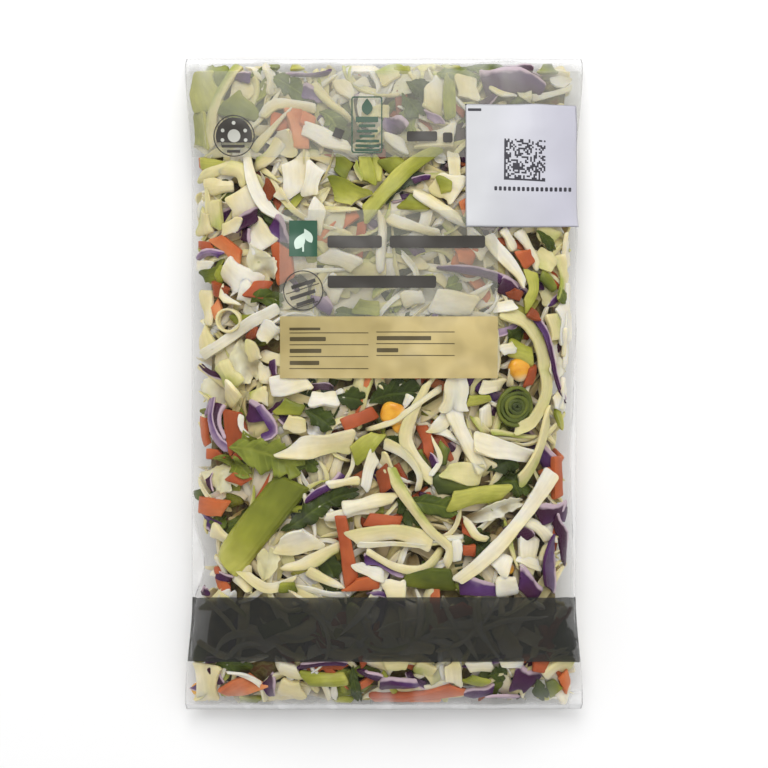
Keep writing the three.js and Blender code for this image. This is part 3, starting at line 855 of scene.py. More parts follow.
    ("carrot", 0.55, 7, (-6, -144.9), (15, -142.7), (35, -139.3)),
    ("carrot", 0.75, 4, (11, -147.8), (25, -148.3)),
    ("red", 0.5, 7, (-2, -137), (16, -137)),
    ("slab", 0.75, 9, (14, -129.1), (23, -131.4)),
    ("slab", 0.4, 8, (31, -127), (32, -137)),
    ("slab", 0.2, 6, (38, -129.1), (50, -129.1)),
    ("celery", 0.75, 7, (37, -134.8), (46, -137)),
    ("red", 0.5, 6, (36, -141.6), (50, -139.3)),
    ("leaf", 0.2, 8, (47, -133.7), (56, -133.7)),
    ("red", 1.0, 7, (47, -142.7), (62, -142.7)),
    ("slab", 0.0, 4, (53, -127.5), (64, -127.5)),
    ("red", 0.35, 12, (59, -133.7), (69, -137)),
    ("leaf", 0.2, 7, (70, -134.8), (74, -143.8)),
    ("carrot", 0.4, 6, (68, -128), (76, -130.3)),
    ("slab", 0.55, 7, (73, -133.7), (80, -128), (86, -129.1)),
    ("celery", 0.5, 6, (76, -135.9), (79, -141.6)),
    ("carrot", 0.7, 5, (82, -132.5), (84, -139.3)),
]
ONION = (60.4, -10.6)
# each ring's kind, tone, radius, wall and place
RINGS = [("shred", 0.5, 5.2, 1.3, (-71, 29))]
for tone, radius in ((0.3, 8), (0.14, 6.2), (0.3, 4.5), (0.1, 2.9), (0, 1.3)):
    RINGS.append(("celery", tone, radius, 1.9, ONION))
# each kernel's place, size and turn
KERNELS = [
    ((63, 6.5), 1.1, 0.2),
    ((4.6, -14), 1.25, 1.3),
    ((7, -20), 0.7, 0.4),
    ((58.5, -84.5), 0.55, 2.2),
    ((-86, -141), 0.7, 0.6),
]
KERNEL_AFTER = ("shred", 0.55, 5.5)  # the kernels and rings go in before this strip, which lies over them
UPPERMOST_POINTED = 0.35  # how readily the uppermost strips come out pointed
PROUD = {FRONT: 0.9, BACK: -0.3}  # how far the tallest pieces stand over the pack's plain skin


@functools.lru_cache(maxsize=1)
def filling(seed, depth, front_count, back_count, fine_count):
    """Drops all the vegetables into the pack once, for every operator that draws some of them."""
    rng = np.random.default_rng(seed)
    front, back = Pile(FRONT, depth), Pile(BACK, 0.8 * depth)
    pieces = handful(front, MIX, front_count, rng)
    front.settle()
    pieces += handful(front, FINE_MIX, fine_count, rng)
    for kind, tone, width, *points in UPPERMOST:
        if (kind, tone, width) == KERNEL_AFTER:
            pieces += [kernel(front, seen(p), size, turn) for p, size, turn in KERNELS]
            pieces += [ring(front, k, t, r, seen(p), rng, wall) for k, t, r, wall, p in RINGS]
        spine = curve_through(seen(points))
        if kind in TEARS:
            pieces.append(leaf(front, kind, tone, width, spine, rng))
        else:
            pieces.append(strip(front, kind, tone, width, spine, rng, UPPERMOST_POINTED))
    pushed_out(front, pieces, PROUD[FRONT])
    behind = handful(back, MIX, back_count // 2, rng)
    back.settle()
    behind += handful(back, MIX, back_count // 4, rng) + handful(back, FINE_MIX, back_count // 4, rng)
    pushed_out(back, behind, PROUD[BACK])
    # painted shade: how deep each piece lies under the film, from 0 to 1, which later darkens its colour
    for piece in pieces + behind:
        place = piece["centre"]
        point, normal = skin_frame(place[..., 0], place[..., 1], piece["face"])
        piece["deep"] = smoothstep((((point - place) * normal).sum(-1) - 1.5) / 7)
    return pieces + behind, front, back


def filling_of(look):
    return filling(look.seed, look.depth * 1000, look.front_count, look.back_count, look.fine_count)


# Nodes

MATH, VECTOR_MATH = "ShaderNodeMath", "ShaderNodeVectorMath"
REMAP, NOISE, BLEND = "ShaderNodeMapRange", "ShaderNodeTexNoise", "ShaderNodeMix"
COLOURS = {"result": 2, "data_type": "RGBA"}  # for a blend of colours, whose inputs are 0, 6 and 7
SHADER, SURFACE = "ShaderNodeBsdfPrincipled", "ShaderNodeOutputMaterial"


def add(tree, kind, inputs=(), result=0, **settings):
    """Adds one node to a tree, with its settings and with a value or a link for each input, in order
    or by name or number. Returns its output of that name or number."""
    node = tree.nodes.new(kind)
    for name, value in settings.items():
        setattr(node, name, value)
    for name, value in inputs.items() if isinstance(inputs, dict) else enumerate(inputs):
        socket = node.inputs[name]
        if isinstance(value, bpy.types.NodeSocket):
            tree.links.new(value, socket)
        else:
            socket.default_value = value
    return node.outputs[result] if len(node.outputs) else None


def geometry_tree(name, sockets):
    """An empty geometry tree with its named inputs. Returns the tree and what its input node gives."""
    tree = bpy.data.node_groups.new(name, "GeometryNodeTree")
    tree.interface.new_socket("Geometry", in_out="INPUT", socket_type="NodeSocketGeometry")
    tree.interface.new_socket("Geometry", in_out="OUTPUT", socket_type="NodeSocketGeometry")
    for label, kind in sockets.items():
        tree.interface.new_socket(label, in_out="INPUT", socket_type="NodeSocket" + kind)
    return tree, tree.nodes.new("NodeGroupInput").outputs


def close_tree(tree, geometry, material):
    real = add(tree, "GeometryNodeRealizeInstances", {"Geometry": geometry})
    painted = add(tree, "GeometryNodeSetMaterial", {"Geometry": real, "Material": material})
    add(tree, "NodeGroupOutput", {"Geometry": painted})


def grown(obj, tree, values, closed=True):
    """Runs a geometry tree on an object and keeps its result as the object's plain mesh."""
    modifier = obj.modifiers.new(tree.name, "NODES")
    modifier.node_group = tree
    for item in tree.interface.items_tree:
        if item.item_type == "SOCKET" and item.in_out == "INPUT" and item.name in values:
            modifier[item.identifier] = values[item.name]
    depsgraph = bpy.context.evaluated_depsgraph_get()
    mesh = bpy.data.meshes.new_from_object(
        obj.evaluated_get(depsgraph), preserve_all_data_layers=True, depsgraph=depsgraph
    )
    obj.modifiers.remove(modifier)
    old, obj.data = obj.data, mesh
    bpy.data.meshes.remove(old)
    mesh.name = obj.name
    if closed:
        turned_outwards(mesh)
    return obj


def turned_outwards(mesh):
    shell = bmesh.new()
    shell.from_mesh(mesh)
    bmesh.ops.recalc_face_normals(shell, faces=shell.faces)
    shell.to_mesh(mesh)
    shell.free()


def new_object(name, vertices, edges=(), faces=(), numbers=(), material=None, smooth=True):
    """A mesh object from points in millimetres, with named numbers or vectors for each point."""
    mesh = bpy.data.meshes.new(name)
    mesh.from_pydata(np.asarray(vertices) * MM, edges, faces)
    for label, values in dict(numbers).items():
        values = np.asarray(values, np.float32)
        kind = "FLOAT_VECTOR" if values.ndim == 2 else "FLOAT"
        layer = mesh.attributes.new(label, kind, "POINT")
        layer.data.foreach_set("vector" if values.ndim == 2 else "value", values.ravel())
    if smooth and len(mesh.polygons):
        mesh.polygons.foreach_set("use_smooth", [True] * len(mesh.polygons))
    if material:
        mesh.materials.append(material)
    obj = bpy.data.objects.new(name, mesh)
    bpy.context.scene.collection.objects.link(obj)
    return obj


def belongs(obj, node="filled_bag", filling=None):
    """Rides the piece on the pack, in place of its plain solid. filling is the face of the pack that
    a vegetable piece lies against, or 0 for both."""
    if filling is not None:
        obj["filling"] = filling
    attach(obj, "root")
    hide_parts(node)
    return obj


RIBS_ROUND_STALK = 16.0
CRISP_ANGLE = math.radians(34)  # sharper edges than this are cut edges, and show as such
LENGTHS = ("slant", "half_width", "half_thickness", "cup")
STRIP_NUMBERS = ("side", "up", "square", "tone", "drift", "reach", "deep", *LENGTHS)


def sweep_tree():
    """Draws a solid strip round each spine: a boxy oval section, set out along the spine's own side
    and up directions, with a slightly uneven surface."""
    tree, given = geometry_tree(
        "Strips along spines",
        {
            "Section points": "Int",
            **dict.fromkeys(("Unevenness", "Grain", "Ribs", "Crisp angle"), "Float"),
            "Material": "Material",
        },
    )
    own = {}
    for kind, names in (
        ("FLOAT", ("square", "half_width", "half_thickness", "cup")),
        ("FLOAT_VECTOR", ("side", "up", "slant")),
    ):
        for name in names:
            own[name] = add(
                tree, "GeometryNodeInputNamedAttribute", {"Name": name}, "Attribute", data_type=kind
            )
    place = add(tree, "GeometryNodeInputPosition")
    curve = add(tree, "GeometryNodeMeshToCurve", {"Mesh": given["Geometry"]})
    circle = add(
        tree, "GeometryNodeCurvePrimitiveCircle", {"Resolution": given["Section points"], "Radius": 1.0}
    )
    kept = []
    for label, geometry in (("spine", curve), ("section", circle)):
        capture = tree.nodes.new("GeometryNodeCaptureAttribute")
        capture.capture_items.new("VECTOR", label)
        tree.links.new(geometry, capture.inputs[0])
        tree.links.new(place, capture.inputs[1])
        kept.append(capture.outputs)
    spine, section = kept
    swept = add(
        tree, "GeometryNodeCurveToMesh", {"Curve": spine[0], "Profile Curve": section[0], "Fill Caps": True}
    )

    # the section, from a circle to a box with round corners
    x, y, _ = add(tree, "ShaderNodeSeparateXYZ", [section[1]]).node.outputs
    out = []
    for axis in (x, y):
        size = add(tree, MATH, [axis], operation="ABSOLUTE")
        size = add(tree, MATH, (size, own["square"]), operation="POWER")
        sign = add(tree, MATH, [axis], operation="SIGN")
        out.append(add(tree, MATH, (sign, size), operation="MULTIPLY"))
    # its unevenness, and the ribs of a stalk
    apart = add(tree, VECTOR_MATH, {0: section[1], "Scale": 0.002}, operation="SCALE")
    apart = add(tree, VECTOR_MATH, (spine[1], apart), operation="ADD")
    uneven = add(tree, NOISE, {"Vector": apart, "Scale": given["Grain"], "Detail": 2.0})
    uneven = add(tree, MATH, (uneven, 0.5), operation="SUBTRACT")
    uneven = add(tree, MATH, (uneven, given["Unevenness"]), operation="MULTIPLY")
    angle = add(tree, MATH, (y, x), operation="ARCTAN2")
    rib = add(tree, MATH, (angle, RIBS_ROUND_STALK), operation="MULTIPLY")
    rib = add(tree, MATH, [rib], operation="SINE")
    rib = add(tree, MATH, (rib, given["Ribs"]), operation="MULTIPLY")
    swell = add(tree, MATH, (uneven, rib), operation="ADD")
    swell = add(tree, MATH, (1.0, swell), operation="ADD")
    sizes = []
    for axis, half in zip(out, ("half_width", "half_thickness")):
        size = add(tree, MATH, (axis, own[half]), operation="MULTIPLY")
        sizes.append(add(tree, MATH, (size, swell), operation="MULTIPLY"))
    wide, high = sizes
    # the cup across its width
    bowl = add(tree, MATH, [out[0]], operation="ABSOLUTE")
    for operation, value in (("POWER", 2.0), ("SUBTRACT", 0.35), ("MULTIPLY", own["cup"])):
        bowl = add(tree, MATH, (bowl, value), operation=operation)
    high = add(tree, MATH, (high, bowl), operation="ADD")

    side, up, slant = [
        add(tree, VECTOR_MATH, {0: own[name], "Scale": amount}, operation="SCALE")
        for name, amount in (("side", wide), ("up", high), ("slant", out[0]))
    ]
    offset = add(tree, VECTOR_MATH, (side, up), operation="ADD")
    offset = add(tree, VECTOR_MATH, (offset, slant), operation="ADD")
    target = add(tree, VECTOR_MATH, (spine[1], offset), operation="ADD")
    moved = add(tree, "GeometryNodeSetPosition", {"Geometry": swept, "Position": target})
    marked = add(
        tree,
        "GeometryNodeStoreNamedAttribute",
        {"Geometry": moved, "Name": "across", "Value": out[0]},
        data_type="FLOAT",
        domain="POINT",
    )
    smooth = add(tree, "GeometryNodeSetShadeSmooth", {"Geometry": marked, "Shade Smooth": True})
    bend = add(tree, "GeometryNodeInputMeshEdgeAngle")
    corner = add(tree, MATH, (bend, given["Crisp angle"]), operation="GREATER_THAN")
    crisp = add(
        tree,
        "GeometryNodeSetShadeSmooth",
        {"Geometry": smooth, "Selection": corner, "Shade Smooth": False},
        domain="EDGE",
    )
    close_tree(tree, crisp, given["Material"])
    return tree


@functools.lru_cache(maxsize=None)
def tree_named(name):
    return {"sweep": sweep_tree, "drape": drape_tree, "code": code_tree}[name]()




def quads_of(grid):
    """The faces between neighbours in a grid of vertex numbers."""
    return np.stack([grid[:-1, :-1], grid[:-1, 1:], grid[1:, 1:], grid[1:, :-1]], -1).reshape(-1, 4)


def strips(name, pieces, material, section_points, unevenness, grain, ribs=0.0):
    """All the strips of one kind as one mesh."""
    points, edges, start = [], [], 0
    numbers = {label: [] for label in STRIP_NUMBERS}
    for piece in pieces:
        count = len(piece["centre"])
        points.append(piece["centre"])
        edges += [(start + i, start + i + 1) for i in range(count - 1)]
        if piece["closed"]:
            edges.append((start + count - 1, start))
        start += count
        for label in numbers:
            value = piece[label]
            value = np.full(count, value) if np.isscalar(value) else value
            numbers[label].append(value * (MM if label in LENGTHS else 1))
    numbers = {label: np.concatenate(values) for label, values in numbers.items()}
    obj = new_object(name, np.concatenate(points), edges=edges, numbers=numbers)
    values = {
        "Section points": section_points,
        "Unevenness": unevenness,
        "Grain": grain,
        "Ribs": ribs,
        "Crisp angle": CRISP_ANGLE,
        "Material": material,
    }
    grown(obj, tree_named("sweep"), values)
    held_in(obj.data)
    return obj


def sheets(name, pieces, material, half_thickness):
    """All the thin sheets of one kind as one mesh."""
    vertices, faces, start = [], [], 0
    numbers = {"tone": [], "across": [], "reach": [], "deep": []}
    for piece in pieces:
        rows, width = piece["centre"].shape[:2]
        size = rows * width
        grid = np.arange(size).reshape(rows, width)
        for face in (1, -1):
            vertices.append((piece["centre"] + piece["normal"] * half_thickness * face).reshape(-1, 3))
        quads = quads_of(grid)
        rim = np.concatenate([grid[0], grid[1:, -1], grid[-1, -2::-1], grid[-2:0:-1, 0]])
        after = np.roll(rim, -1)
        walls = np.stack([rim, after, after + size, rim + size], -1)
        faces += (np.concatenate([quads, quads[:, ::-1] + size, walls]) + start).tolist()
        v, reach = np.meshgrid(piece["v"], piece["reach"])
        own = {"tone": np.full(v.shape, piece["tone"]), "across": v, "reach": reach, "deep": piece["deep"]}
        for label, values in own.items():
            numbers[label] += [values.ravel()] * 2
        start += 2 * size
    numbers = {label: np.concatenate(values) for label, values in numbers.items()}
    obj = new_object(name, np.concatenate(vertices), faces=faces, numbers=numbers, material=material)
    turned_outwards(obj.data)
    held_in(obj.data)
    return obj


def held_in(mesh):
    """Presses what would sink through the table, or stick out of the pack's rim, against the film."""
    places = np.empty(len(mesh.vertices) * 3)
    mesh.vertices.foreach_get("co", places)
    x, y, z = places.reshape(-1, 3).T / MM
    y = np.clip(y, 0.2 - BODY_END, BODY_END - 0.2)
    x = np.clip(x, 0.6 - half_width(y), half_width(y) - 0.6)
    held = np.stack([x, y, np.maximum(z, LEAST_FILLING_HEIGHT)], -1) * MM
    mesh.vertices.foreach_set("co", held.ravel())


# Materials

PAINTED_DEEP_SHADE = (0.46, 0.35, 0.2, 1)  # painted shade: what is left of a colour where a piece lies deep in the pile, in place of the shade there
FIBRE_STRETCH = 9.0  # how many times as long as wide a fibre is


def to_linear(colour):
    """A hex colour such as #d8cba0, as a renderer's linear numbers."""
    parts = [int(colour[i : i + 2], 16) / 255 for i in (1, 3, 5)]
    return (*[v / 12.92 if v <= 0.04045 else ((v + 0.055) / 1.055) ** 2.4 for v in parts], 1.0)


def new_material(name):
    """A material. Returns it, its tree and the place on the object that the tree colours."""
    material = bpy.data.materials.new(name)
    material.use_nodes = True
    material.node_tree.nodes.clear()
    return material, material.node_tree, add(material.node_tree, "ShaderNodeTexCoord", result="Object")


def per_mm(size):
    """The scale at which noise on Object coordinates has blotches about that many millimetres across."""
    return 1 / (size * MM)


def with_tones(ramp, tones):
    """Gives a colour ramp these hex colours, evenly spaced or as (place, colour) pairs."""
    stops = [t if isinstance(t, tuple) else (i / (len(tones) - 1), t) for i, t in enumerate(tones)]
    elements = ramp.node.color_ramp.elements
    while len(elements) < len(stops):
        elements.new(0.5)
    for element, (place, colour) in zip(elements, stops):
        element.position, element.color = place, to_linear(colour)
    return ramp


def vegetable(
    name, tones, fibre=0.8, blotch=5.0, depth=0.10, mottle=0.12, soft=0.25, shine=0.36, edge=None, veins=0,
    pale_end=0,
):
    """Cut raw vegetable: moist flesh that lets some light in, with fibres along each strip, a tone of
    its own for each piece that drifts over it, and painted shade, a brown darkening, where it lies deep
    among the rest."""
    material, tree, place = new_material(name)
    across, drift, own_tone, reach, deep = [
        add(tree, "ShaderNodeAttribute", result="Fac", attribute_name=label)
        for label in ("across", "drift", "tone", "reach", "deep")
    ]
    drift = add(tree, MATH, (across, drift), operation="MULTIPLY")
    patches = add(tree, NOISE, {"Vector": place, "Scale": per_mm(9.0), "Detail": 3.0})
    patches = add(tree, REMAP, (patches, 0.3, 0.7, -mottle, mottle))
    tone = add(tree, MATH, (own_tone, patches), operation="ADD")
    if veins:
        # a pale midrib, and side veins that run forward from it
        aside = add(tree, MATH, [across], operation="ABSOLUTE")
        turn = add(tree, MATH, (reach, veins), operation="DIVIDE")
        forward = add(tree, MATH, (aside, 0.4), operation="MULTIPLY")
        turn = add(tree, MATH, (turn, forward), operation="SUBTRACT")
        line = add(tree, MATH, (turn, 0.5), operation="PINGPONG")
        line = add(tree, REMAP, (line, 0.09, 0.0))
        midrib = add(tree, REMAP, (aside, 0.12, 0.03))
        line = add(tree, MATH, (line, midrib), operation="MAXIMUM")
        line = add(tree, MATH, (line, 0.28), operation="MULTIPLY")
        tone = add(tree, MATH, (tone, line), operation="ADD")
    if pale_end:
        paler = add(tree, REMAP, (reach, 0, 26, pale_end, -0.08))
        tone = add(tree, MATH, (tone, paler), operation="ADD")
    tone = add(tree, MATH, (tone, drift), operation="ADD", use_clamp=True)
    colour = with_tones(add(tree, "ShaderNodeValToRGB", {"Fac": tone}), tones)

    # fine lines along each strip: noise on its own length and width
    along = add(tree, MATH, (reach, 1 / (fibre * FIBRE_STRETCH)), operation="MULTIPLY")
    aside = add(tree, MATH, (across, 3.2 / fibre), operation="MULTIPLY")
    lines = add(tree, "ShaderNodeCombineXYZ", (along, aside, own_tone))
    lines = add(tree, NOISE, {"Vector": lines, "Scale": 1.0, "Detail": 2.0})
    shade = add(tree, REMAP, (lines, 0.3, 0.7, 1 - depth, 1 + depth * 0.5))
    patches = add(tree, NOISE, {"Vector": place, "Scale": per_mm(blotch), "Detail": 3.0})
    patches = add(tree, REMAP, (patches, 0.3, 0.7, 1 - depth, 1.0))
    shade = add(tree, MATH, (shade, patches), operation="MULTIPLY")
    shade = add(tree, "ShaderNodeCombineColor", (shade, shade, shade))
    colour = add(tree, BLEND, {0: 1.0, 6: colour, 7: shade}, blend_type="MULTIPLY", **COLOURS)
    if edge:
        flesh, start, full = edge
        wavy = add(tree, NOISE, {"Vector": place, "Scale": per_mm(6.0), "Detail": 1.0})
        wavy = add(tree, REMAP, (wavy, 0.3, 0.7, -0.15, 0.15))
        wavy = add(tree, MATH, (across, wavy), operation="ADD")
        share = add(tree, REMAP, (wavy, start, full))
        colour = add(tree, BLEND, {0: share, 6: colour, 7: to_linear(flesh)}, **COLOURS)
    # painted shade: the colour is darkened and browned where the piece lies deep in the pile
    painted_shade = add(tree, BLEND, {0: deep, 6: (1, 1, 1, 1), 7: PAINTED_DEEP_SHADE}, **COLOURS)
    colour = add(tree, BLEND, {0: 1.0, 6: colour, 7: painted_shade}, blend_type="MULTIPLY", **COLOURS)
    flesh = {
        "Base Color": colour,
        "Roughness": shine,
        "IOR": 1.38,
        "Specular IOR Level": 0.3,
        "Subsurface Weight": soft,
        "Subsurface Radius": (1.0, 0.8, 0.4),
        "Subsurface Scale": 2.8 * MM,
        "Normal": add(tree, "ShaderNodeBump", {"Height": lines, "Strength": 0.35, "Distance": 0.12 * MM}),
    }
    add(tree, SURFACE, {"Surface": add(tree, SHADER, flesh)})
    return material


def ink(name, colour, roughness=0.5, cover=None, blotch=None, fade=None):
    """Printing ink on film. cover is how much of the light behind it it stops; blotch is the colour
    of its uneven patches, and fade is its colour at the right end of the print."""
    material, tree, place = new_material(name)
    base = to_linear(colour)
    if fade:
        share = add(tree, REMAP, (add(tree, "ShaderNodeSeparateXYZ", [place]), -0.03, 0.05))
        base = add(tree, BLEND, {0: share, 6: base, 7: to_linear(fade)}, **COLOURS)
    if blotch:
        share = add(tree, NOISE, {"Vector": place, "Scale": per_mm(14.0), "Detail": 1.5})
        share = add(tree, REMAP, (share, 0.42, 0.58, 0, 0.6))
        base = add(tree, BLEND, {0: share, 6: base, 7: to_linear(blotch)}, **COLOURS)
    surface = add(tree, SHADER, {"Base Color": base, "Roughness": roughness})
    if cover is not None:
        clear = add(tree, "ShaderNodeBsdfTransparent")
        surface = add(tree, "ShaderNodeMixShader", (cover, clear, surface))
    add(tree, SURFACE, {"Surface": surface})
    return material


def film_material(roughness):
    """Polypropylene film: clear and glossy, with a faint haze that whitens what lies under it. The same
    whitening, set per point, also carries painted light: highlights, and lightening of shaded film.
    """
    material, tree, _ = new_material("Clear polypropylene film")
    whitening = add(tree, SHADER, {"Base Color": (0.97, 0.97, 0.97, 1), "Roughness": 0.45})
    haze = add(tree, "ShaderNodeAttribute", result="Fac", attribute_name="haze")
    clear = add(tree, "ShaderNodeBsdfTransparent", {"Color": (0.95, 0.95, 0.95, 1)})
    clear_with_whitening = add(tree, "ShaderNodeMixShader", (haze, clear, whitening))
    gloss = add(tree, "ShaderNodeBsdfAnisotropic", {"Roughness": roughness})
    # only its outer face shines
    inside = add(tree, "ShaderNodeNewGeometry", result="Backfacing")
    outer = add(tree, MATH, (1.0, inside), operation="SUBTRACT")
    fresnel = add(tree, "ShaderNodeFresnel", {"IOR": 1.18})
    fresnel = add(tree, MATH, (fresnel, outer), operation="MULTIPLY")
    add(tree, SURFACE, {"Surface": add(tree, "ShaderNodeMixShader", (fresnel, clear_with_whitening, gloss))})
    return material


# The film, the seals and the core are pillows: a front and a back grid that share their rim


def pillow(columns, rows, front, back):
    """Vertices and faces of a closed pillow, and which of the grid's points are inside its rim. front
    and back give the points for row and column. The front's inner points follow the back's points."""
    height, width = len(rows), len(columns)
    at_rim = np.zeros((height, width), bool)
    at_rim[[0, -1]] = at_rim[:, [0, -1]] = True
    under = np.arange(height * width).reshape(height, width)
    over = under.copy()
    inner = np.flatnonzero(~at_rim)
    over.ravel()[inner] = height * width + np.arange(len(inner))
    lower = np.where(at_rim[..., None], (front + back) / 2, back)
    vertices = np.concatenate([lower.reshape(-1, 3), front.reshape(-1, 3)[inner]])
    faces = np.concatenate([quads_of(over), quads_of(under)[:, ::-1]])
    return vertices, faces.tolist(), inner


def crimp(y):
    """Ribs pressed into the end seals."""
    beyond = np.abs(y) - BODY_END
    return np.where(beyond > 0.4, 0.05 * np.sin(beyond * 2 * math.pi / 1.3), 0)


def creases(x, y):
    """Fine creases that run in from the seals and from the sides, where the film is gathered."""
    from_end = np.maximum(BODY_END - np.abs(y), 0)
    from_side = np.maximum(half_width(y) - np.abs(x), 0)
    ends = 0.75 * np.exp(-from_end / 15) * lattice_noise(x / 6.5 + 0.02 * y, y / 34, 11)
    sides = 0.6 * np.exp(-from_side / 8) * lattice_noise(x / 26, y / 5.5 + 0.03 * x, 12)
    return (ends + sides) * np.clip(from_end / 4, 0, 1) * np.clip(from_side / 2.5, 0, 1)


def widest(grid):
    padded = np.pad(grid, 1, mode="edge")
    rows, columns = grid.shape
    around = [padded[i : i + rows, j : j + columns] for i in range(3) for j in range(3)]
    return np.max(around, axis=0)


def film_sheet(side):
    """How far the film stands over the pack's plain skin, drawn tight over the vegetables."""
    tops = np.full((len(ROWS), len(COLUMNS)), -4.0)
    for obj in bpy.data.objects:
        if obj.get("filling") not in (side, 0):
            continue
        mesh = obj.data
        corners, middles = np.empty(len(mesh.vertices) * 3), np.empty(len(mesh.polygons) * 3)
        mesh.vertices.foreach_get("co", corners)
        mesh.polygons.foreach_get("center", middles)
        places = np.concatenate([corners, middles]).reshape(-1, 3) / MM
        point, normal = skin_frame(places[:, 0], places[:, 1], side)
        over = ((places - point) * normal).sum(-1)
        np.maximum.at(tops, nearest_points(places[:, 0], places[:, 1]), over)
    x, y = np.meshgrid(COLUMNS, ROWS)
    from_rim = np.minimum(half_width(y) - np.abs(x), BODY_END - np.abs(y))
    obstacle = np.clip(widest(tops) + 0.3, -1.2 if side == FRONT else 0, 3.5) * np.clip(from_rim / 3, 0, 1)
    sheet = stretched_over(obstacle, 0.012, 160)
    if side == FRONT:
        sheet = np.maximum(sheet + creases(x, y), obstacle)
    for _ in range(2):
        sheet = widest(sheet)
    for _ in range(5):
        sheet = 0.4 * sheet + 0.6 * neighbours_mean(sheet)
    return sheet * np.clip(from_rim / 2, 0, 1)


def over_film(sheet, x, y, side, proud):
    """Points that far outside the film."""
    point, normal = skin_frame(x, y, side)
    moved = point + normal * (read_grid(sheet, x, y) + proud)[..., None]
    beyond = smoothstep((np.abs(y) - BODY_END + 2) / 4)
    ripple = 0.9 * lattice_noise(x / 21, y / 90, 41) + 0.35 * lattice_noise(x / 7, y / 90, 42)
    moved[..., 2] += beyond * ripple
    moved[..., 2] = np.maximum(moved[..., 2], LEAST_FILM_HEIGHT)
    return moved


def crowded(t, crowding):
    return np.sign(t) * (1 - (1 - np.abs(t)) ** crowding)


STICKER_TILT = -0.022  # the sticker's print runs down to the right by this much
PRINT_PROUD = 0.06  # of the sticker's print, over its paper


def dropped(tree, target):
    """Drops each point straight down on an object. Returns the hit's place, its normal and whether
    there is one."""
    ground = add(tree, "GeometryNodeObjectInfo", {"Object": target}, "Geometry", transform_space="ORIGINAL")
    place = add(tree, "GeometryNodeInputPosition")
    start = add(tree, VECTOR_MATH, (place, (0, 0, 0.2)), operation="ADD")
    ray = {"Source Position": start, "Ray Direction": (0, 0, -1), "Ray Length": 0.5}
    hit = add(tree, "GeometryNodeRaycast", {"Target Geometry": ground, **ray}).node.outputs
    return hit["Hit Position"], hit["Hit Normal"], hit["Is Hit"]


def drape_tree():
    """Lays flat print on the film: each point drops straight down on it, and parts beyond the
    pack's edge fall away."""
    tree, given = geometry_tree("Print on film", {"Film": "Object", "Proud": "Float", "Material": "Material"})
    place, normal, on_film = dropped(tree, given["Film"])
    proud = add(tree, VECTOR_MATH, {0: normal, "Scale": given["Proud"]}, operation="SCALE")
    target = add(tree, VECTOR_MATH, (place, proud), operation="ADD")
    missed = add(tree, "FunctionNodeBooleanMath", [on_film], operation="NOT")
    kept = add(
        tree,
        "GeometryNodeDeleteGeometry",
        {"Geometry": given["Geometry"], "Selection": missed},
        domain="POINT",
    )
    laid = add(tree, "GeometryNodeSetPosition", {"Geometry": kept, "Position": target})
    smooth = add(tree, "GeometryNodeSetShadeSmooth", {"Geometry": laid, "Shade Smooth": True})
    close_tree(tree, smooth, given["Material"])
    return tree


def code_tree():
    """A square of random dark cells with two solid sides, laid on the sticker."""
    tree, given = geometry_tree(
        "Random code square",
        {
            "Sticker": "Object",
            "Cell": "Float",
            "Cells": "Int",
            "Centre": "Vector",
            "Seed": "Int",
            "Material": "Material",
        },
    )
    size = add(tree, MATH, (given["Cell"], given["Cells"]), operation="MULTIPLY")
    count = add(tree, MATH, (given["Cells"], 1.0), operation="ADD")
    sizes = {"Size X": size, "Size Y": size, "Vertices X": count, "Vertices Y": count}
    grid = add(tree, "GeometryNodeMeshGrid", sizes)
    # the first column and the first row are solid, and half of the other cells are blank
    inner = add(tree, MATH, (size, 0.5), operation="MULTIPLY")
    inner = add(tree, MATH, (inner, given["Cell"]), operation="SUBTRACT")
    inner = add(tree, MATH, (inner, -1.0), operation="MULTIPLY")
    x, y, _ = add(tree, "ShaderNodeSeparateXYZ", [add(tree, "GeometryNodeInputPosition")]).node.outputs
    first = [add(tree, MATH, (axis, inner), operation="LESS_THAN") for axis in (x, y)]
    solid = add(tree, MATH, first, operation="MAXIMUM")
    chance = {"Probability": 0.5, "Seed": given["Seed"]}
    blank = add(tree, "FunctionNodeRandomValue", chance, 3, data_type="BOOLEAN")
    gone = add(tree, MATH, (1.0, solid), operation="SUBTRACT")
    gone = add(tree, MATH, (blank, gone), operation="MULTIPLY")
    cells = add(tree, "GeometryNodeDeleteGeometry", {"Geometry": grid, "Selection": gone}, domain="FACE")
    placing = {"Geometry": cells, "Translation": given["Centre"], "Rotation": (0, 0, STICKER_TILT)}
    moved = add(tree, "GeometryNodeTransform", placing)
    place, _, _ = dropped(tree, given["Sticker"])
    target = add(tree, VECTOR_MATH, (place, (0, 0, PRINT_PROUD * MM)), operation="ADD")
    laid = add(tree, "GeometryNodeSetPosition", {"Geometry": moved, "Position": target})
    close_tree(tree, laid, given["Material"])
    return tree


# The print: simple generic shapes, in the view's millimetres


def turned(points, tilt):
    """Points turned about the origin by tilt degrees."""
    c, s = math.cos(math.radians(tilt)), math.sin(math.radians(tilt))
    return points @ np.array([[c, s], [-s, c]])


def box_outline(left, right, low, high, corner=0.0, tilt=0.0):
    """A rectangle with rounded corners, turned about its centre by tilt degrees."""
    centre = np.array([(left + right) / 2, (low + high) / 2])
    half = np.array([(right - left) / 2, (high - low) / 2])
    corner = min(corner, *half)
    points = []
    for quarter, outwards in enumerate(((1, 1), (-1, 1), (-1, -1), (1, -1))):
        turns = np.linspace(0, math.pi / 2, 5) if corner else [math.pi / 4]
        for turn in turns:
            a = turn + quarter * math.pi / 2
            points.append(outwards * (half - corner) + corner * np.array([math.cos(a), math.sin(a)]))
    return turned(np.array(points), tilt) + centre


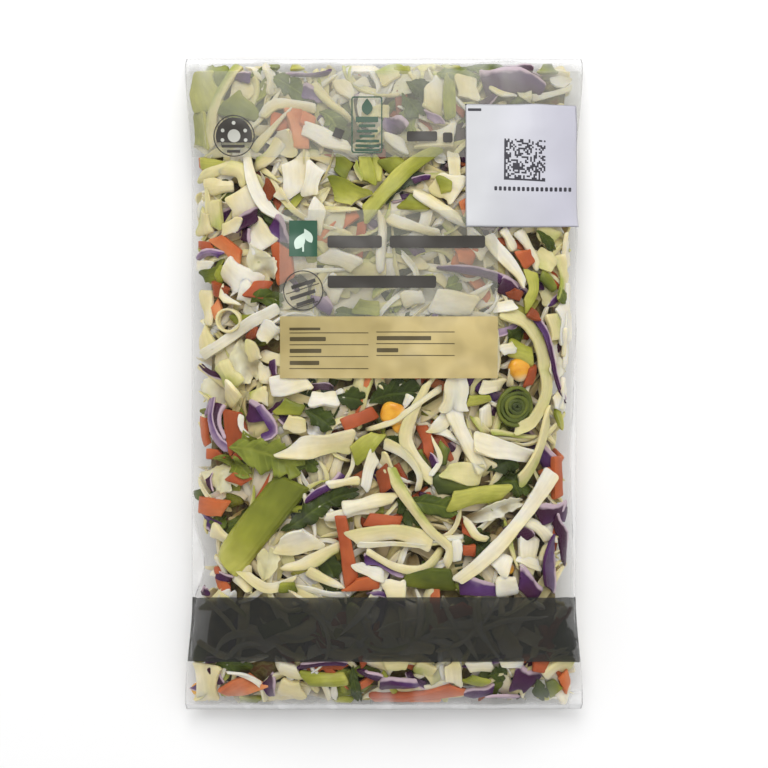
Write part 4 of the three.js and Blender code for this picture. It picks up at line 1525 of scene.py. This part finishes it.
def rim_to_rim(low, high):
    """A band across the whole pack, whose ends follow its sides."""
    y = np.linspace(low, high, 31)
    side = np.stack([half_width(y) - 0.15, y], -1)
    return np.concatenate([side, side[::-1] * [-1, 1]])


def round_outline(x, y, radius, points=40):
    a = np.linspace(0, 2 * math.pi, points, endpoint=False)
    return np.stack([radius * np.cos(a), radius * np.sin(a)], -1) + [x, y]


def leaf_outline(x, y, length, width, tilt):
    t = np.linspace(0, 1, 14)
    top = np.stack([length * (t - 0.5), width / 2 * np.sin(math.pi * t**0.8)], -1)
    return turned(np.concatenate([top, (top * [1, -1])[-2:0:-1]]), tilt) + [x, y]


def line_round(outer, inner):
    """An outline drawn as a line: short quads between two like outlines."""
    after = lambda p: np.roll(p, -1, axis=0)
    return [np.array(q) for q in zip(outer, after(outer), after(inner), inner)]


def bars(rows, height, tilt=0.0):
    """A bar with soft corners for each left end, right end and height."""
    return [box_outline(a, b, y - height / 2, y + height / 2, height * 0.2, tilt) for a, b, y in rows]


def rules(left, right, heights):
    """Thin lines under one another."""
    return [box_outline(left, right, y - 0.2, y + 0.2) for y in heights]


def print_shapes():
    """Outlines for each ink. Word-long bars stand where a pack carries words."""
    badge, stamp = (-68.3, 112.9), (-36.8, 42.6)
    badge_middle = np.array([badge[0], badge[1] + 0.2])
    turns = np.radians([200, 155, 90, 25, -20])
    dots = [badge_middle + 5.6 * np.array([math.cos(a), math.sin(a)]) for a in turns]
    title_rows = [(-25.7, -1, 64.8), (2.6, 46, 64.8), (-25.7, 23.8, 46.6)]
    stamp_rows = [(-42.5, -31, 45.6), (-43, -31, 40.6), (-40, -31.5, 37.2)]
    panel_rows = [(-43, -26.5, 20.5), (-43, -28.5, 15.1), (-43, -29.5, 9.6)]
    panel_rows += [(-3.3, 21.5, 20.9), (-3.3, 6.5, 15.4)]
    mark_box = box_outline(-14.9, -0.7, 105.1, 131, 1.2), box_outline(-14.3, -1.3, 105.7, 130.4, 0.8)
    small_rows = [
        (-11.6, -3.9, 117.7),
        (-12.4, -2.8, 115.3),
        (-11.2, -4.2, 113),
        (-12.9, -2.2, 110.7),
        (-13, -2, 108.5),
        (-13.2, -1.9, 106.6),
    ]
    return {
        "veil": [rim_to_rim(103.4, 142.6), box_outline(-47.6, 51.8, 30.8, 79.4)],
        "gold": [box_outline(-47.4, 51.8, 2.6, 30.8)],
        "charcoal": [rim_to_rim(-126.5, -97.2)],
        "green": [box_outline(-43.2, -30.4, 58.1, 74.5)],
        "motif": [
            leaf_outline(-38.2, 65.2, 8.6, 4.6, 62),
            leaf_outline(-34.6, 67.6, 7.2, 3.6, 118),
            box_outline(-37.3, -36.5, 60.3, 66),
        ],
        "gold ink": [
            *rules(-43.1, -7.1, (23.3, 17.9, 12.5, 7.0)),
            *rules(-3.5, 32.2, (23.7, 18.4, 13.0)),
            *bars(panel_rows, 1.9),
            *bars([(-43.1, -29, 25.1)], 1.2),
        ],
        "dark": [
            *bars(title_rows, 5.6),
            *bars([(10.4, 24.2, 112.8), (26.8, 31.2, 112.2)], 4.6),
            box_outline(-23, -18.6, 112, 116.4, 0, -22),
            *line_round(round_outline(*stamp, 9.2), round_outline(*stamp, 8.7)),
            box_outline(-45, -29.2, 43.18, 43.62, 0, 18),
            box_outline(-41.5, -29.8, 35.7, 36.1, 0, 18),
            *bars(stamp_rows, 1.7, 18),
            *line_round(round_outline(*badge, 9.4), round_outline(*badge, 8.9)),
            half_disc(badge, 8.2, 110.1),
            *bars([(-74, -63.5, 108.4), (-71.5, -65.5, 106)], 1.3),
        ],
        "box green": [
            *line_round(*mark_box),
            box_outline(-12.9, -2.6, 119.3, 121.8),
            leaf_outline(-7.7, 126.3, 7.6, 5, 90),
            *bars(small_rows, 1.25),
        ],
        "pale": [round_outline(*badge_middle, 2.9, 24), *[round_outline(*dot, 0.85, 12) for dot in dots]],
    }


def half_disc(centre, radius, floor):
    """The part of a disc that lies above a level."""
    low = math.asin((floor - centre[1]) / radius)
    a = np.linspace(low, math.pi - low, 30)
    return np.stack([centre[0] + radius * np.cos(a), centre[1] + radius * np.sin(a)], -1)


def flat_patches(name, outlines, cell):
    """Flat faces for the outlines, cut to a grid fine enough to follow the film."""
    patch = bmesh.new()
    for outline in outlines:
        fine = []
        for a, b in zip(outline, np.roll(outline, -1, axis=0)):
            steps = max(1, int(np.linalg.norm(b - a) / cell))
            fine += [a + (b - a) * i / steps for i in range(steps)]
        corners = [patch.verts.new((*(p * MM), 0)) for p in seen(np.array(fine))]
        patch.faces.new(corners)
    reach = [max(abs(v.co[i]) for v in patch.verts) / MM for i in (0, 1)]
    for axis in (0, 1):
        for level in np.arange(-math.ceil(reach[axis] / cell) * cell, reach[axis], cell):
            normal, point = [0, 0, 0], [0, 0, 0]
            normal[axis], point[axis] = 1, level * MM + 1e-7  # just beside the outlines' own edges
            everything = patch.verts[:] + patch.edges[:] + patch.faces[:]
            bmesh.ops.bisect_plane(patch, geom=everything, plane_co=point, plane_no=normal)
    mesh = bpy.data.meshes.new(name)
    bmesh.ops.triangulate(patch, faces=[f for f in patch.faces if len(f.verts) > 4])
    patch.to_mesh(mesh)
    patch.free()
    obj = bpy.data.objects.new(name, mesh)
    bpy.context.scene.collection.objects.link(obj)
    return obj


# The user's choices


class ColeslawLook(bpy.types.PropertyGroup):
    """Sizes and colours that a user would change."""

    seed: bpy.props.IntProperty(name="Seed", description="Which random handful fills the pack", default=7)
    depth: bpy.props.FloatProperty(
        name="Filling depth",
        description="How deep the loose pieces lie under the film",
        default=0.0105,
        unit="LENGTH",
    )
    front_count: bpy.props.IntProperty(
        name="Front pieces", description="Loose pieces under the front", default=620
    )
    fine_count: bpy.props.IntProperty(
        name="Fine pieces", description="Thin pieces under the uppermost", default=220
    )
    back_count: bpy.props.IntProperty(
        name="Back pieces", description="Loose pieces over the back", default=600
    )
    haze: bpy.props.FloatProperty(
        name="Film haze", description="How much the film whitens", default=0.003, subtype="FACTOR"
    )
    gloss: bpy.props.FloatProperty(
        name="Film roughness", description="How soft its highlights are", default=0.2, subtype="FACTOR"
    )
    sticker: bpy.props.FloatVectorProperty(
        name="Sticker",
        description="Its left, right, lower and upper edges",
        default=(0.0368, 0.0868, 0.0715, 0.1268),
        unit="LENGTH",
        size=4,
    )
    floor: bpy.props.FloatVectorProperty(
        name="Floor",
        description="Colour of the floor",
        default=to_linear("#f6f6f6")[:3],
        subtype="COLOR",
        size=3,
    )


class PieceOperator:
    """What the operators share."""

    bl_options = {"REGISTER", "UNDO"}

    @property
    def look(self):
        return bpy.context.scene.coleslaw_look

    def chosen(self, *kinds, face=None):
        pieces = filling_of(self.look)[0]
        return [p for p in pieces if p["kind"] in kinds and (face is None or p["face"] == face)]


class COLESLAW_OT_core(PieceOperator, bpy.types.Operator):
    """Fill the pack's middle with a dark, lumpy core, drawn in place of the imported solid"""

    bl_idname = "coleslaw.core"
    bl_label = "Core"

    def execute(self, context):
        # Packed slaw in painted shade: coloured dull and dark, as the shade deep in the pack, so that gaps
        # between the pieces read as deep
        material, tree, place = new_material("Packed slaw in shade")
        tones = ((0.34, "#3a2d13"), (0.43, "#57431c"), (0.5, "#645824"), (0.57, "#786a3a"), (0.66, "#6b4724"))
        patches = add(tree, NOISE, {"Vector": place, "Scale": per_mm(4.5), "Detail": 3.0})
        patches = with_tones(add(tree, "ShaderNodeValToRGB", {"Fac": patches}), tones)
        add(tree, SURFACE, {"Surface": add(tree, SHADER, {"Base Color": patches, "Roughness": 0.8})})
        columns, rows = np.linspace(-1, 1, 61), np.linspace(-BODY_END + 7, BODY_END - 7, 101)
        u, y = np.meshgrid(columns, rows)
        x = u * (filled_half_width(u, y) - 6)
        faces = []
        for pile in filling_of(self.look)[1:]:
            point, normal = skin_frame(x, y, pile.side)
            lumpy = 0.98 + 0.14 * lattice_noise(x / 5, y / 5, 21)
            deep = np.maximum(read_grid(pile.room, x, y), 0.3) * lumpy
            faces.append(point - normal * deep[..., None])
        vertices, quads, _ = pillow(columns, rows, *faces)
        obj = new_object("packed_core", vertices, faces=quads, material=material)
        belongs(obj)
        return {"FINISHED"}


class COLESLAW_OT_white_cabbage(PieceOperator, bpy.types.Operator):
    """Lay the shreds, ribs and hearts of white cabbage"""

    bl_idname = "coleslaw.white_cabbage"
    bl_label = "White cabbage"

    def execute(self, context):
        # White cabbage, knife cut: waxy, nearly white ribs through cream to pale green leaf
        tones = ("#ece6d6", "#e9dfc0", "#e3d5a2", "#d8cf95", "#a9b054")
        material = vegetable("Raw white cabbage", tones, fibre=1.1, depth=0.08, soft=0.5)
        belongs(sheets("cabbage_frills", self.chosen("frill"), material, 0.22), filling=0)
        for face, side in ((FRONT, "front"), (BACK, "back")):
            thin, broad = [], []
            for piece in self.chosen("shred", face=face):
                (thin if piece["half_width"].max() < THREAD_HALF_WIDTH else broad).append(piece)
            slabs = self.chosen("slab", face=face)
            for name, pieces, section_points, unevenness, grain in (
                ("threads", thin, 8, 0.3, 160.0),
                ("shreds", broad, 12, 0.35, 160.0),
                ("slabs", slabs, 16, 0.4, 130.0),
            ):
                made = strips(f"cabbage_{name}_{side}", pieces, material, section_points, unevenness, grain)
                belongs(made, filling=face)
        return {"FINISHED"}


class COLESLAW_OT_red_cabbage(PieceOperator, bpy.types.Operator):
    """Lay the shreds of red cabbage"""

    bl_idname = "coleslaw.red_cabbage"
    bl_label = "Red cabbage"

    def execute(self, context):
        # Red cabbage, knife cut: dark purple skin with a paler lilac flesh along the cut edges
        tones = ("#3a1526", "#421a38", "#4a2252", "#5c3a70", "#a890a4")
        edge = ("#bfa8b2", 0.5, 0.75)
        material = vegetable("Raw red cabbage", tones, fibre=1.3, depth=0.16, soft=0.12, shine=0.3, edge=edge)
        belongs(strips("red_cabbage", self.chosen("red"), material, 12, 0.35, 170.0), filling=0)
        return {"FINISHED"}


class COLESLAW_OT_carrot(PieceOperator, bpy.types.Operator):
    """Lay the carrot sticks"""

    bl_idname = "coleslaw.carrot"
    bl_label = "Carrot"

    def execute(self, context):
        # Raw carrot, cut in sticks: dense orange flesh, matt where it has dried
        tones = ("#84401f", "#b0552e", "#cc6e3c", "#df9460")
        material = vegetable("Raw carrot", tones, fibre=0.9, soft=0.2, shine=0.42)
        belongs(strips("carrot_sticks", self.chosen("carrot"), material, 12, 0.16, 150.0), filling=0)
        return {"FINISHED"}


class COLESLAW_OT_celery(PieceOperator, bpy.types.Operator):
    """Lay the celery, its large stalk and the rings of spring onion"""

    bl_idname = "coleslaw.celery"
    bl_label = "Celery and spring onion"

    def execute(self, context):
        # Celery and spring onion, sliced: watery green flesh with strings along it
        tones = ("#3e481b", "#5d6722", "#7e842b", "#9ea03a", "#bfbc5a")
        material = vegetable("Raw celery", tones, fibre=0.8, depth=0.14, soft=0.2)
        belongs(strips("celery_pieces", self.chosen("celery"), material, 16, 0.25, 150.0), filling=0)
        # the large stalk is paler and more watery towards its root, where it is cut
        material = vegetable("Raw celery stalk", tones, fibre=1.2, mottle=0.06, soft=0.3, pale_end=0.3)
        belongs(strips("celery_stalk", self.chosen("stalk"), material, 128, 0.08, 60.0, 0.01), filling=0)
        return {"FINISHED"}


class COLESLAW_OT_leaves(PieceOperator, bpy.types.Operator):
    """Lay the torn green leaves"""

    bl_idname = "coleslaw.leaves"
    bl_label = "Green leaves"

    def execute(self, context):
        # Celery and outer cabbage leaf, torn: thin and dark, with paler veins
        tones = ("#2c3610", "#46541a", "#667226", "#8f963a")
        material = vegetable("Green leaf", tones, fibre=1.6, depth=0.2, soft=0.1, shine=0.4, veins=3.6)
        belongs(sheets("green_leaves", self.chosen("leaf"), material, 0.2), filling=0)
        return {"FINISHED"}


class COLESLAW_OT_sweetcorn(PieceOperator, bpy.types.Operator):
    """Set the sweetcorn kernels"""

    bl_idname = "coleslaw.sweetcorn"
    bl_label = "Sweetcorn"

    def execute(self, context):
        # Cooked sweetcorn: a taut, shiny skin over yellow flesh, pale at the tip
        material, tree, place = new_material("Sweetcorn")
        blotches, skin = [
            add(tree, NOISE, {"Vector": place, "Scale": per_mm(size), "Detail": 3.0}) for size in (4.0, 1.2)
        ]
        flesh = add(tree, "ShaderNodeValToRGB", {"Fac": blotches})
        with_tones(flesh, ((0.35, "#dc9424"), (0.65, "#f0b43c")))
        tip = add(tree, "ShaderNodeAttribute", result="Fac", attribute_name="tone")
        tip = add(tree, REMAP, (tip, 0.62, 0.95))
        corn = {
            "Base Color": add(tree, BLEND, {0: tip, 6: flesh, 7: to_linear("#f0e0b8")}, **COLOURS),
            "Roughness": 0.28,
            "IOR": 1.4,
            "Subsurface Weight": 0.3,
            "Subsurface Radius": (1, 0.6, 0.15),
            "Subsurface Scale": 2 * MM,
            "Normal": add(tree, "ShaderNodeBump", {"Height": skin, "Strength": 0.2, "Distance": 0.1 * MM}),
        }
        add(tree, SURFACE, {"Surface": add(tree, SHADER, corn)})
        vertices, faces, tones, start = [], [], [], 0
        for piece in self.chosen("corn"):
            ball = bmesh.new()
            bmesh.ops.create_icosphere(ball, subdivisions=4, radius=1)
            points = np.array([v.co[:] for v in ball.verts])
            faces += [[v.index + start for v in f.verts] for f in ball.faces]
            ball.free()
            boxy = np.sign(points) * np.abs(points) ** 0.8
            narrow = 1 - 0.32 * np.clip(-boxy[:, 1], 0, 1)
            shaped = boxy * np.stack([4.6 * narrow, np.full(len(boxy), 5.0), 3.3 * narrow], -1)
            shaped[:, 2] -= 0.7 * np.exp(-(boxy[:, 0] ** 2 + (boxy[:, 1] - 0.3) ** 2) * 4) * (boxy[:, 2] > 0)
            c, s = math.cos(piece["turn"]), math.sin(piece["turn"])
            east = unit(np.cross([0, 1, 0], piece["normal"]))
            north = np.cross(piece["normal"], east)
            axes = np.stack([east * c + north * s, north * c - east * s, piece["normal"]])
            vertices.append(shaped @ axes * piece["size"] + piece["centre"])
            tones.append(np.clip(0.5 - 0.5 * points[:, 1], 0, 1))
            start += len(points)
        numbers = {"tone": np.concatenate(tones)}
        points = np.concatenate(vertices)
        obj = new_object("sweetcorn_kernels", points, faces=faces, numbers=numbers, material=material)
        belongs(obj, filling=0)
        return {"FINISHED"}


class COLESLAW_OT_film(PieceOperator, bpy.types.Operator):
    """Draw the clear film over the pile, with its toothed seals, its creases and the seam behind"""

    bl_idname = "coleslaw.film"
    bl_label = "Film"

    def execute(self, context):
        look = self.look
        material = film_material(look.gloss)
        columns = np.linspace(-1, 1, 183)
        body = crowded(np.linspace(-1, 1, 203), 1.25) * BODY_END
        seal = np.linspace(BODY_END, PACK_LENGTH / 2, 19)[1:]
        rows = np.concatenate([-seal[::-1], body, seal])
        u, y = np.meshgrid(columns, rows)
        inward = smoothstep((BODY_END - np.abs(y)) / 20)
        x = (u * (1 - inward) + crowded(u, 1.3) * inward) * half_width(y)
        toothed = y.copy()
        roots = np.arange(len(columns)) % 2 == 0
        for end in (0, -1):
            toothed[end, roots] -= np.sign(y[end, roots]) * TOOTH_DEPTH
        sheets = {side: film_sheet(side) for side in (FRONT, BACK)}
        faces = []
        for side in (FRONT, BACK):
            points = over_film(sheets[side], x, toothed, side, 0.06)
            points[..., 2] += crimp(toothed)
            faces.append(points)
        vertices, quads, inner = pillow(columns, rows, *faces)
        # the film's haze, with painted light: whitening that also stands in for highlights and for light
        # where the pack shades the film
        haze = np.full(len(vertices), look.haze)
        flat = np.concatenate([y.ravel(), y.ravel()[inner]])
        wide = np.concatenate([x.ravel(), x.ravel()[inner]])
        empty = np.clip((np.abs(wide) - filled_half_width(wide, flat)) / 2, 0, 1)
        streaks = np.clip(0.35 + 0.8 * lattice_noise(wide / 5 + 0.03 * flat, flat / 40, 31), 0, 1)
        from_top, from_foot = [np.maximum(BODY_END - flat * end, 0) for end in (1, -1)]
        from_side = half_width(flat) - np.abs(wide)
        # painted highlight: whitish streaks near the top seal stand in for the film's shine; painted light:
        # the strong whitening at the foot lightens film in the pack's shade; along the sides it is haze
        painted_light_at_ends = 0.45 * np.exp(-from_top / 9) + 0.8 * np.exp(-from_foot / 4.5)
        streaked_haze_and_painted_light = streaks * (painted_light_at_ends + 0.1 * np.exp(-from_side / 4))
        # the crimped seals and the empty margins are whitened as haze, and more strongly as painted light
        # where they lie in the pack's shade
        crimped = 0.58 * smoothstep((np.abs(flat) - BODY_END + 0.8) / 1.6)
        haze = np.max([haze, streaked_haze_and_painted_light, 0.34 * empty, crimped], axis=0)
        obj = new_object("film", vertices, faces=quads, numbers={"haze": haze}, material=material)
        belongs(obj)
        self.back_seam(sheets[BACK], material)
        return {"FINISHED"}

    def back_seam(self, sheet, material):
        """The lengthwise seam of the wrap, folded flat down the middle of the back."""
        columns, rows = np.linspace(-6, 6, 9), np.linspace(-BODY_END, BODY_END, 201)
        x, y = np.meshgrid(columns, rows)
        x = x + 0.4 * np.sin(y / 17)
        inner, outer = [over_film(sheet, x, y, BACK, proud) for proud in (0.0, 0.12)]
        vertices, quads, _ = pillow(columns, rows, inner, outer)
        numbers = {"haze": np.full(len(vertices), 0.12)}
        obj = new_object("back_seam", vertices, faces=quads, numbers=numbers, material=material)
        belongs(obj)


class COLESLAW_OT_print(PieceOperator, bpy.types.Operator):
    """Print the bands, the panels and the generic marks on the film"""

    bl_idname = "coleslaw.print"
    bl_label = "Print"

    def execute(self, context):
        # Flexographic ink on film: the pale one is thin and lets the pieces show, the dark ones cover.
        # Each has its height over the film and the size of the cells it is cut into, in millimetres
        gold = ink("Gold ink", "#b5a36c", 0.42, cover=0.93, blotch="#a89661", fade="#cbb67a")
        inks = {
            "veil": (ink("Thin white ink", "#b0b0a3", cover=0.27), 0.06, 1.3),
            "gold": (gold, 0.11, 1.3),
            "charcoal": (ink("Charcoal ink", "#11120c", cover=0.84), 0.1, 1.3),
            "green": (ink("Green ink", "#24513a", 0.45), 0.12, 1.3),
            "motif": (ink("Pale green ink", "#c5d6c8", 0.45), 0.18, 1.0),
            "gold ink": (ink("Brown ink", "#4a3f1c"), 0.17, 1.2),
            "dark": (ink("Dark ink", "#35312b"), 0.15, 1.2),
            "box green": (ink("Bottle green ink", "#2b4a36"), 0.15, 1.2),
            "pale": (ink("Grey white ink", "#b9b9b0"), 0.2, 1.0),
        }
        film = bpy.data.objects["film"]
        for label, outlines in print_shapes().items():
            material, proud, cell = inks[label]
            obj = flat_patches("print_" + label.replace(" ", "_"), outlines, cell)
            values = {"Film": film, "Proud": proud * MM, "Material": material}
            belongs(grown(obj, tree_named("drape"), values, closed=False))
        return {"FINISHED"}


class COLESLAW_OT_sticker(PieceOperator, bpy.types.Operator):
    """Lay the paper sticker on the film, with a random code square and plain bars"""

    bl_idname = "coleslaw.sticker"
    bl_label = "Sticker"

    def execute(self, context):
        # Coated thermal paper: smooth and faintly blue-white, cockled where it bridges the pieces, with soft
        # blotches of painted shade for its folds
        material, tree, place = new_material("Coated thermal paper")
        soft, cockles = [
            add(tree, NOISE, {"Vector": place, "Scale": per_mm(size), "Detail": 1.5}) for size in (24.0, 15.0)
        ]
        share = add(tree, REMAP, (add(tree, "ShaderNodeSeparateXYZ", [place]), 0.04, 0.082))
        tint = add(tree, BLEND, {0: share, 6: to_linear("#c1c2c5"), 7: to_linear("#bfbeca")}, **COLOURS)
        # painted shade and light: soft blotches darken and lighten the paper a little, for the shade of its
        # folds
        soft = add(tree, REMAP, (soft, 0.3, 0.7, 0.93, 1.03))
        soft = add(tree, "ShaderNodeCombineColor", (soft, soft, soft))
        tint = add(tree, BLEND, {0: 1.0, 6: tint, 7: soft}, blend_type="MULTIPLY", **COLOURS)
        relief = add(tree, "ShaderNodeBump", {"Height": cockles, "Strength": 0.5, "Distance": 1.2 * MM})
        paper = {"Base Color": tint, "Roughness": 0.42, "Normal": relief}
        add(tree, SURFACE, {"Surface": add(tree, SHADER, paper)})
        black = ink("Thermal print", "#2b2a33", 0.6)
        left, right, low, high = [edge * 1000 for edge in self.look.sticker]
        columns, rows = np.linspace(left, right, 56), np.linspace(low, high, 60)
        u, v = np.meshgrid(columns, rows)
        spots = seen(np.stack([u, v], -1))
        x, y = spots[..., 0], spots[..., 1]
        relief = stretched_over(film_sheet(FRONT), 0, 120)
        point, normal = skin_frame(x, y, FRONT)
        layers = [point + normal * (read_grid(relief, x, y) + gap)[..., None] for gap in (0.4, 0.24)]
        vertices, quads, _ = pillow(columns, rows, *layers)
        sticker = new_object("paper_sticker", vertices, faces=quads, material=material)
        belongs(sticker, "use_by_sticker")
        code = new_object("code_square", [[0, 0, 0]])
        values = {
            "Sticker": sticker,
            "Cell": 0.78 * MM,
            "Cells": 24,
            "Centre": (*(seen([64.2, 102.1]) * MM), 0.0),
            "Seed": 5,
            "Material": black,
        }
        belongs(grown(code, tree_named("code"), values, closed=False), "use_by_sticker")
        digits = [(x, x + 1.3, 88.7 + STICKER_TILT * (x - 67)) for x in np.arange(50.2, 84, 2.1)]
        marks = flat_patches("sticker_bars", bars([(38.2, 44.3, 124.9)], 1.2) + bars(digits, 1.9), 1.2)
        values = {"Film": sticker, "Proud": PRINT_PROUD * MM, "Material": black}
        belongs(grown(marks, tree_named("drape"), values, closed=False), "use_by_sticker")
        return {"FINISHED"}


class COLESLAW_OT_stage(PieceOperator, bpy.types.Operator):
    """Set the white floor, the soft lights and the camera that looks straight down"""

    bl_idname = "coleslaw.stage"
    bl_label = "Stage"

    def execute(self, context):
        # Seamless studio paper: matt and white
        material, tree, _ = new_material("White studio paper")
        paper = {"Base Color": (*self.look.floor, 1), "Roughness": 0.9}
        add(tree, SURFACE, {"Surface": add(tree, SHADER, paper)})
        corners = [[x, y, 0] for x, y in ((-2500, -2500), (2500, -2500), (2500, 2500), (-2500, 2500))]
        floor = new_object("floor", corners, faces=[[0, 1, 2, 3]], material=material)
        for name, place, size, power in (
            ("key", (-0.12, 1.0, 1.15), 0.9, 13),
            ("fill", (0.7, 0.5, 1.3), 1.2, 4),
        ):
            light = bpy.data.lights.new(name, "AREA")
            light.size, light.energy = size, power
            lamp = bpy.data.objects.new(name, light)
            lamp.location = place
            lamp.rotation_euler = (-lamp.location).to_track_quat("-Z", "Y").to_euler()
            context.scene.collection.objects.link(lamp)
        world = bpy.data.worlds.new("Soft white studio")
        context.scene.world = world
        world.use_nodes = True
        world.node_tree.nodes["Background"].inputs["Color"].default_value = (1, 1, 1, 1)
        world.node_tree.nodes["Background"].inputs["Strength"].default_value = 0.68
        camera = bpy.data.cameras.new("camera")
        camera.lens, camera.sensor_width = LENS, SENSOR
        eye = bpy.data.objects.new("camera", camera)
        eye.location = (0, 0, (VIEW_HEIGHT + CAMERA_RISE) * MM)
        context.scene.collection.objects.link(eye)
        context.scene.camera = eye
        context.scene.view_settings.view_transform = "Standard"
        return {"FINISHED"}


OPERATORS = (
    COLESLAW_OT_stage,
    COLESLAW_OT_core,
    COLESLAW_OT_white_cabbage,
    COLESLAW_OT_red_cabbage,
    COLESLAW_OT_carrot,
    COLESLAW_OT_celery,
    COLESLAW_OT_leaves,
    COLESLAW_OT_sweetcorn,
    COLESLAW_OT_film,
    COLESLAW_OT_print,
    COLESLAW_OT_sticker,
)


class COLESLAW_PT_pack(bpy.types.Panel):
    """Lists the pack's sizes and the operators that build it"""

    bl_idname = "COLESLAW_PT_pack"
    bl_label = "Coleslaw pack"
    bl_space_type = "VIEW_3D"
    bl_region_type = "UI"
    bl_category = "Coleslaw"

    def draw(self, context):
        look = context.scene.coleslaw_look
        for name in look.bl_rna.properties.keys():
            if name not in ("rna_type", "name"):
                self.layout.prop(look, name)
        for operator in OPERATORS:
            self.layout.operator(operator.bl_idname)


CLASSES = (ColeslawLook, *OPERATORS, COLESLAW_PT_pack)


def register():
    for cls in CLASSES:
        bpy.utils.register_class(cls)
    bpy.types.Scene.coleslaw_look = bpy.props.PointerProperty(type=ColeslawLook)


def unregister():
    del bpy.types.Scene.coleslaw_look
    for cls in reversed(CLASSES):
        bpy.utils.unregister_class(cls)


def main():
    register()
    for operator in OPERATORS:
        group, name = operator.bl_idname.split(".")
        getattr(getattr(bpy.ops, group), name)()


if __name__ == "__main__":
    main()
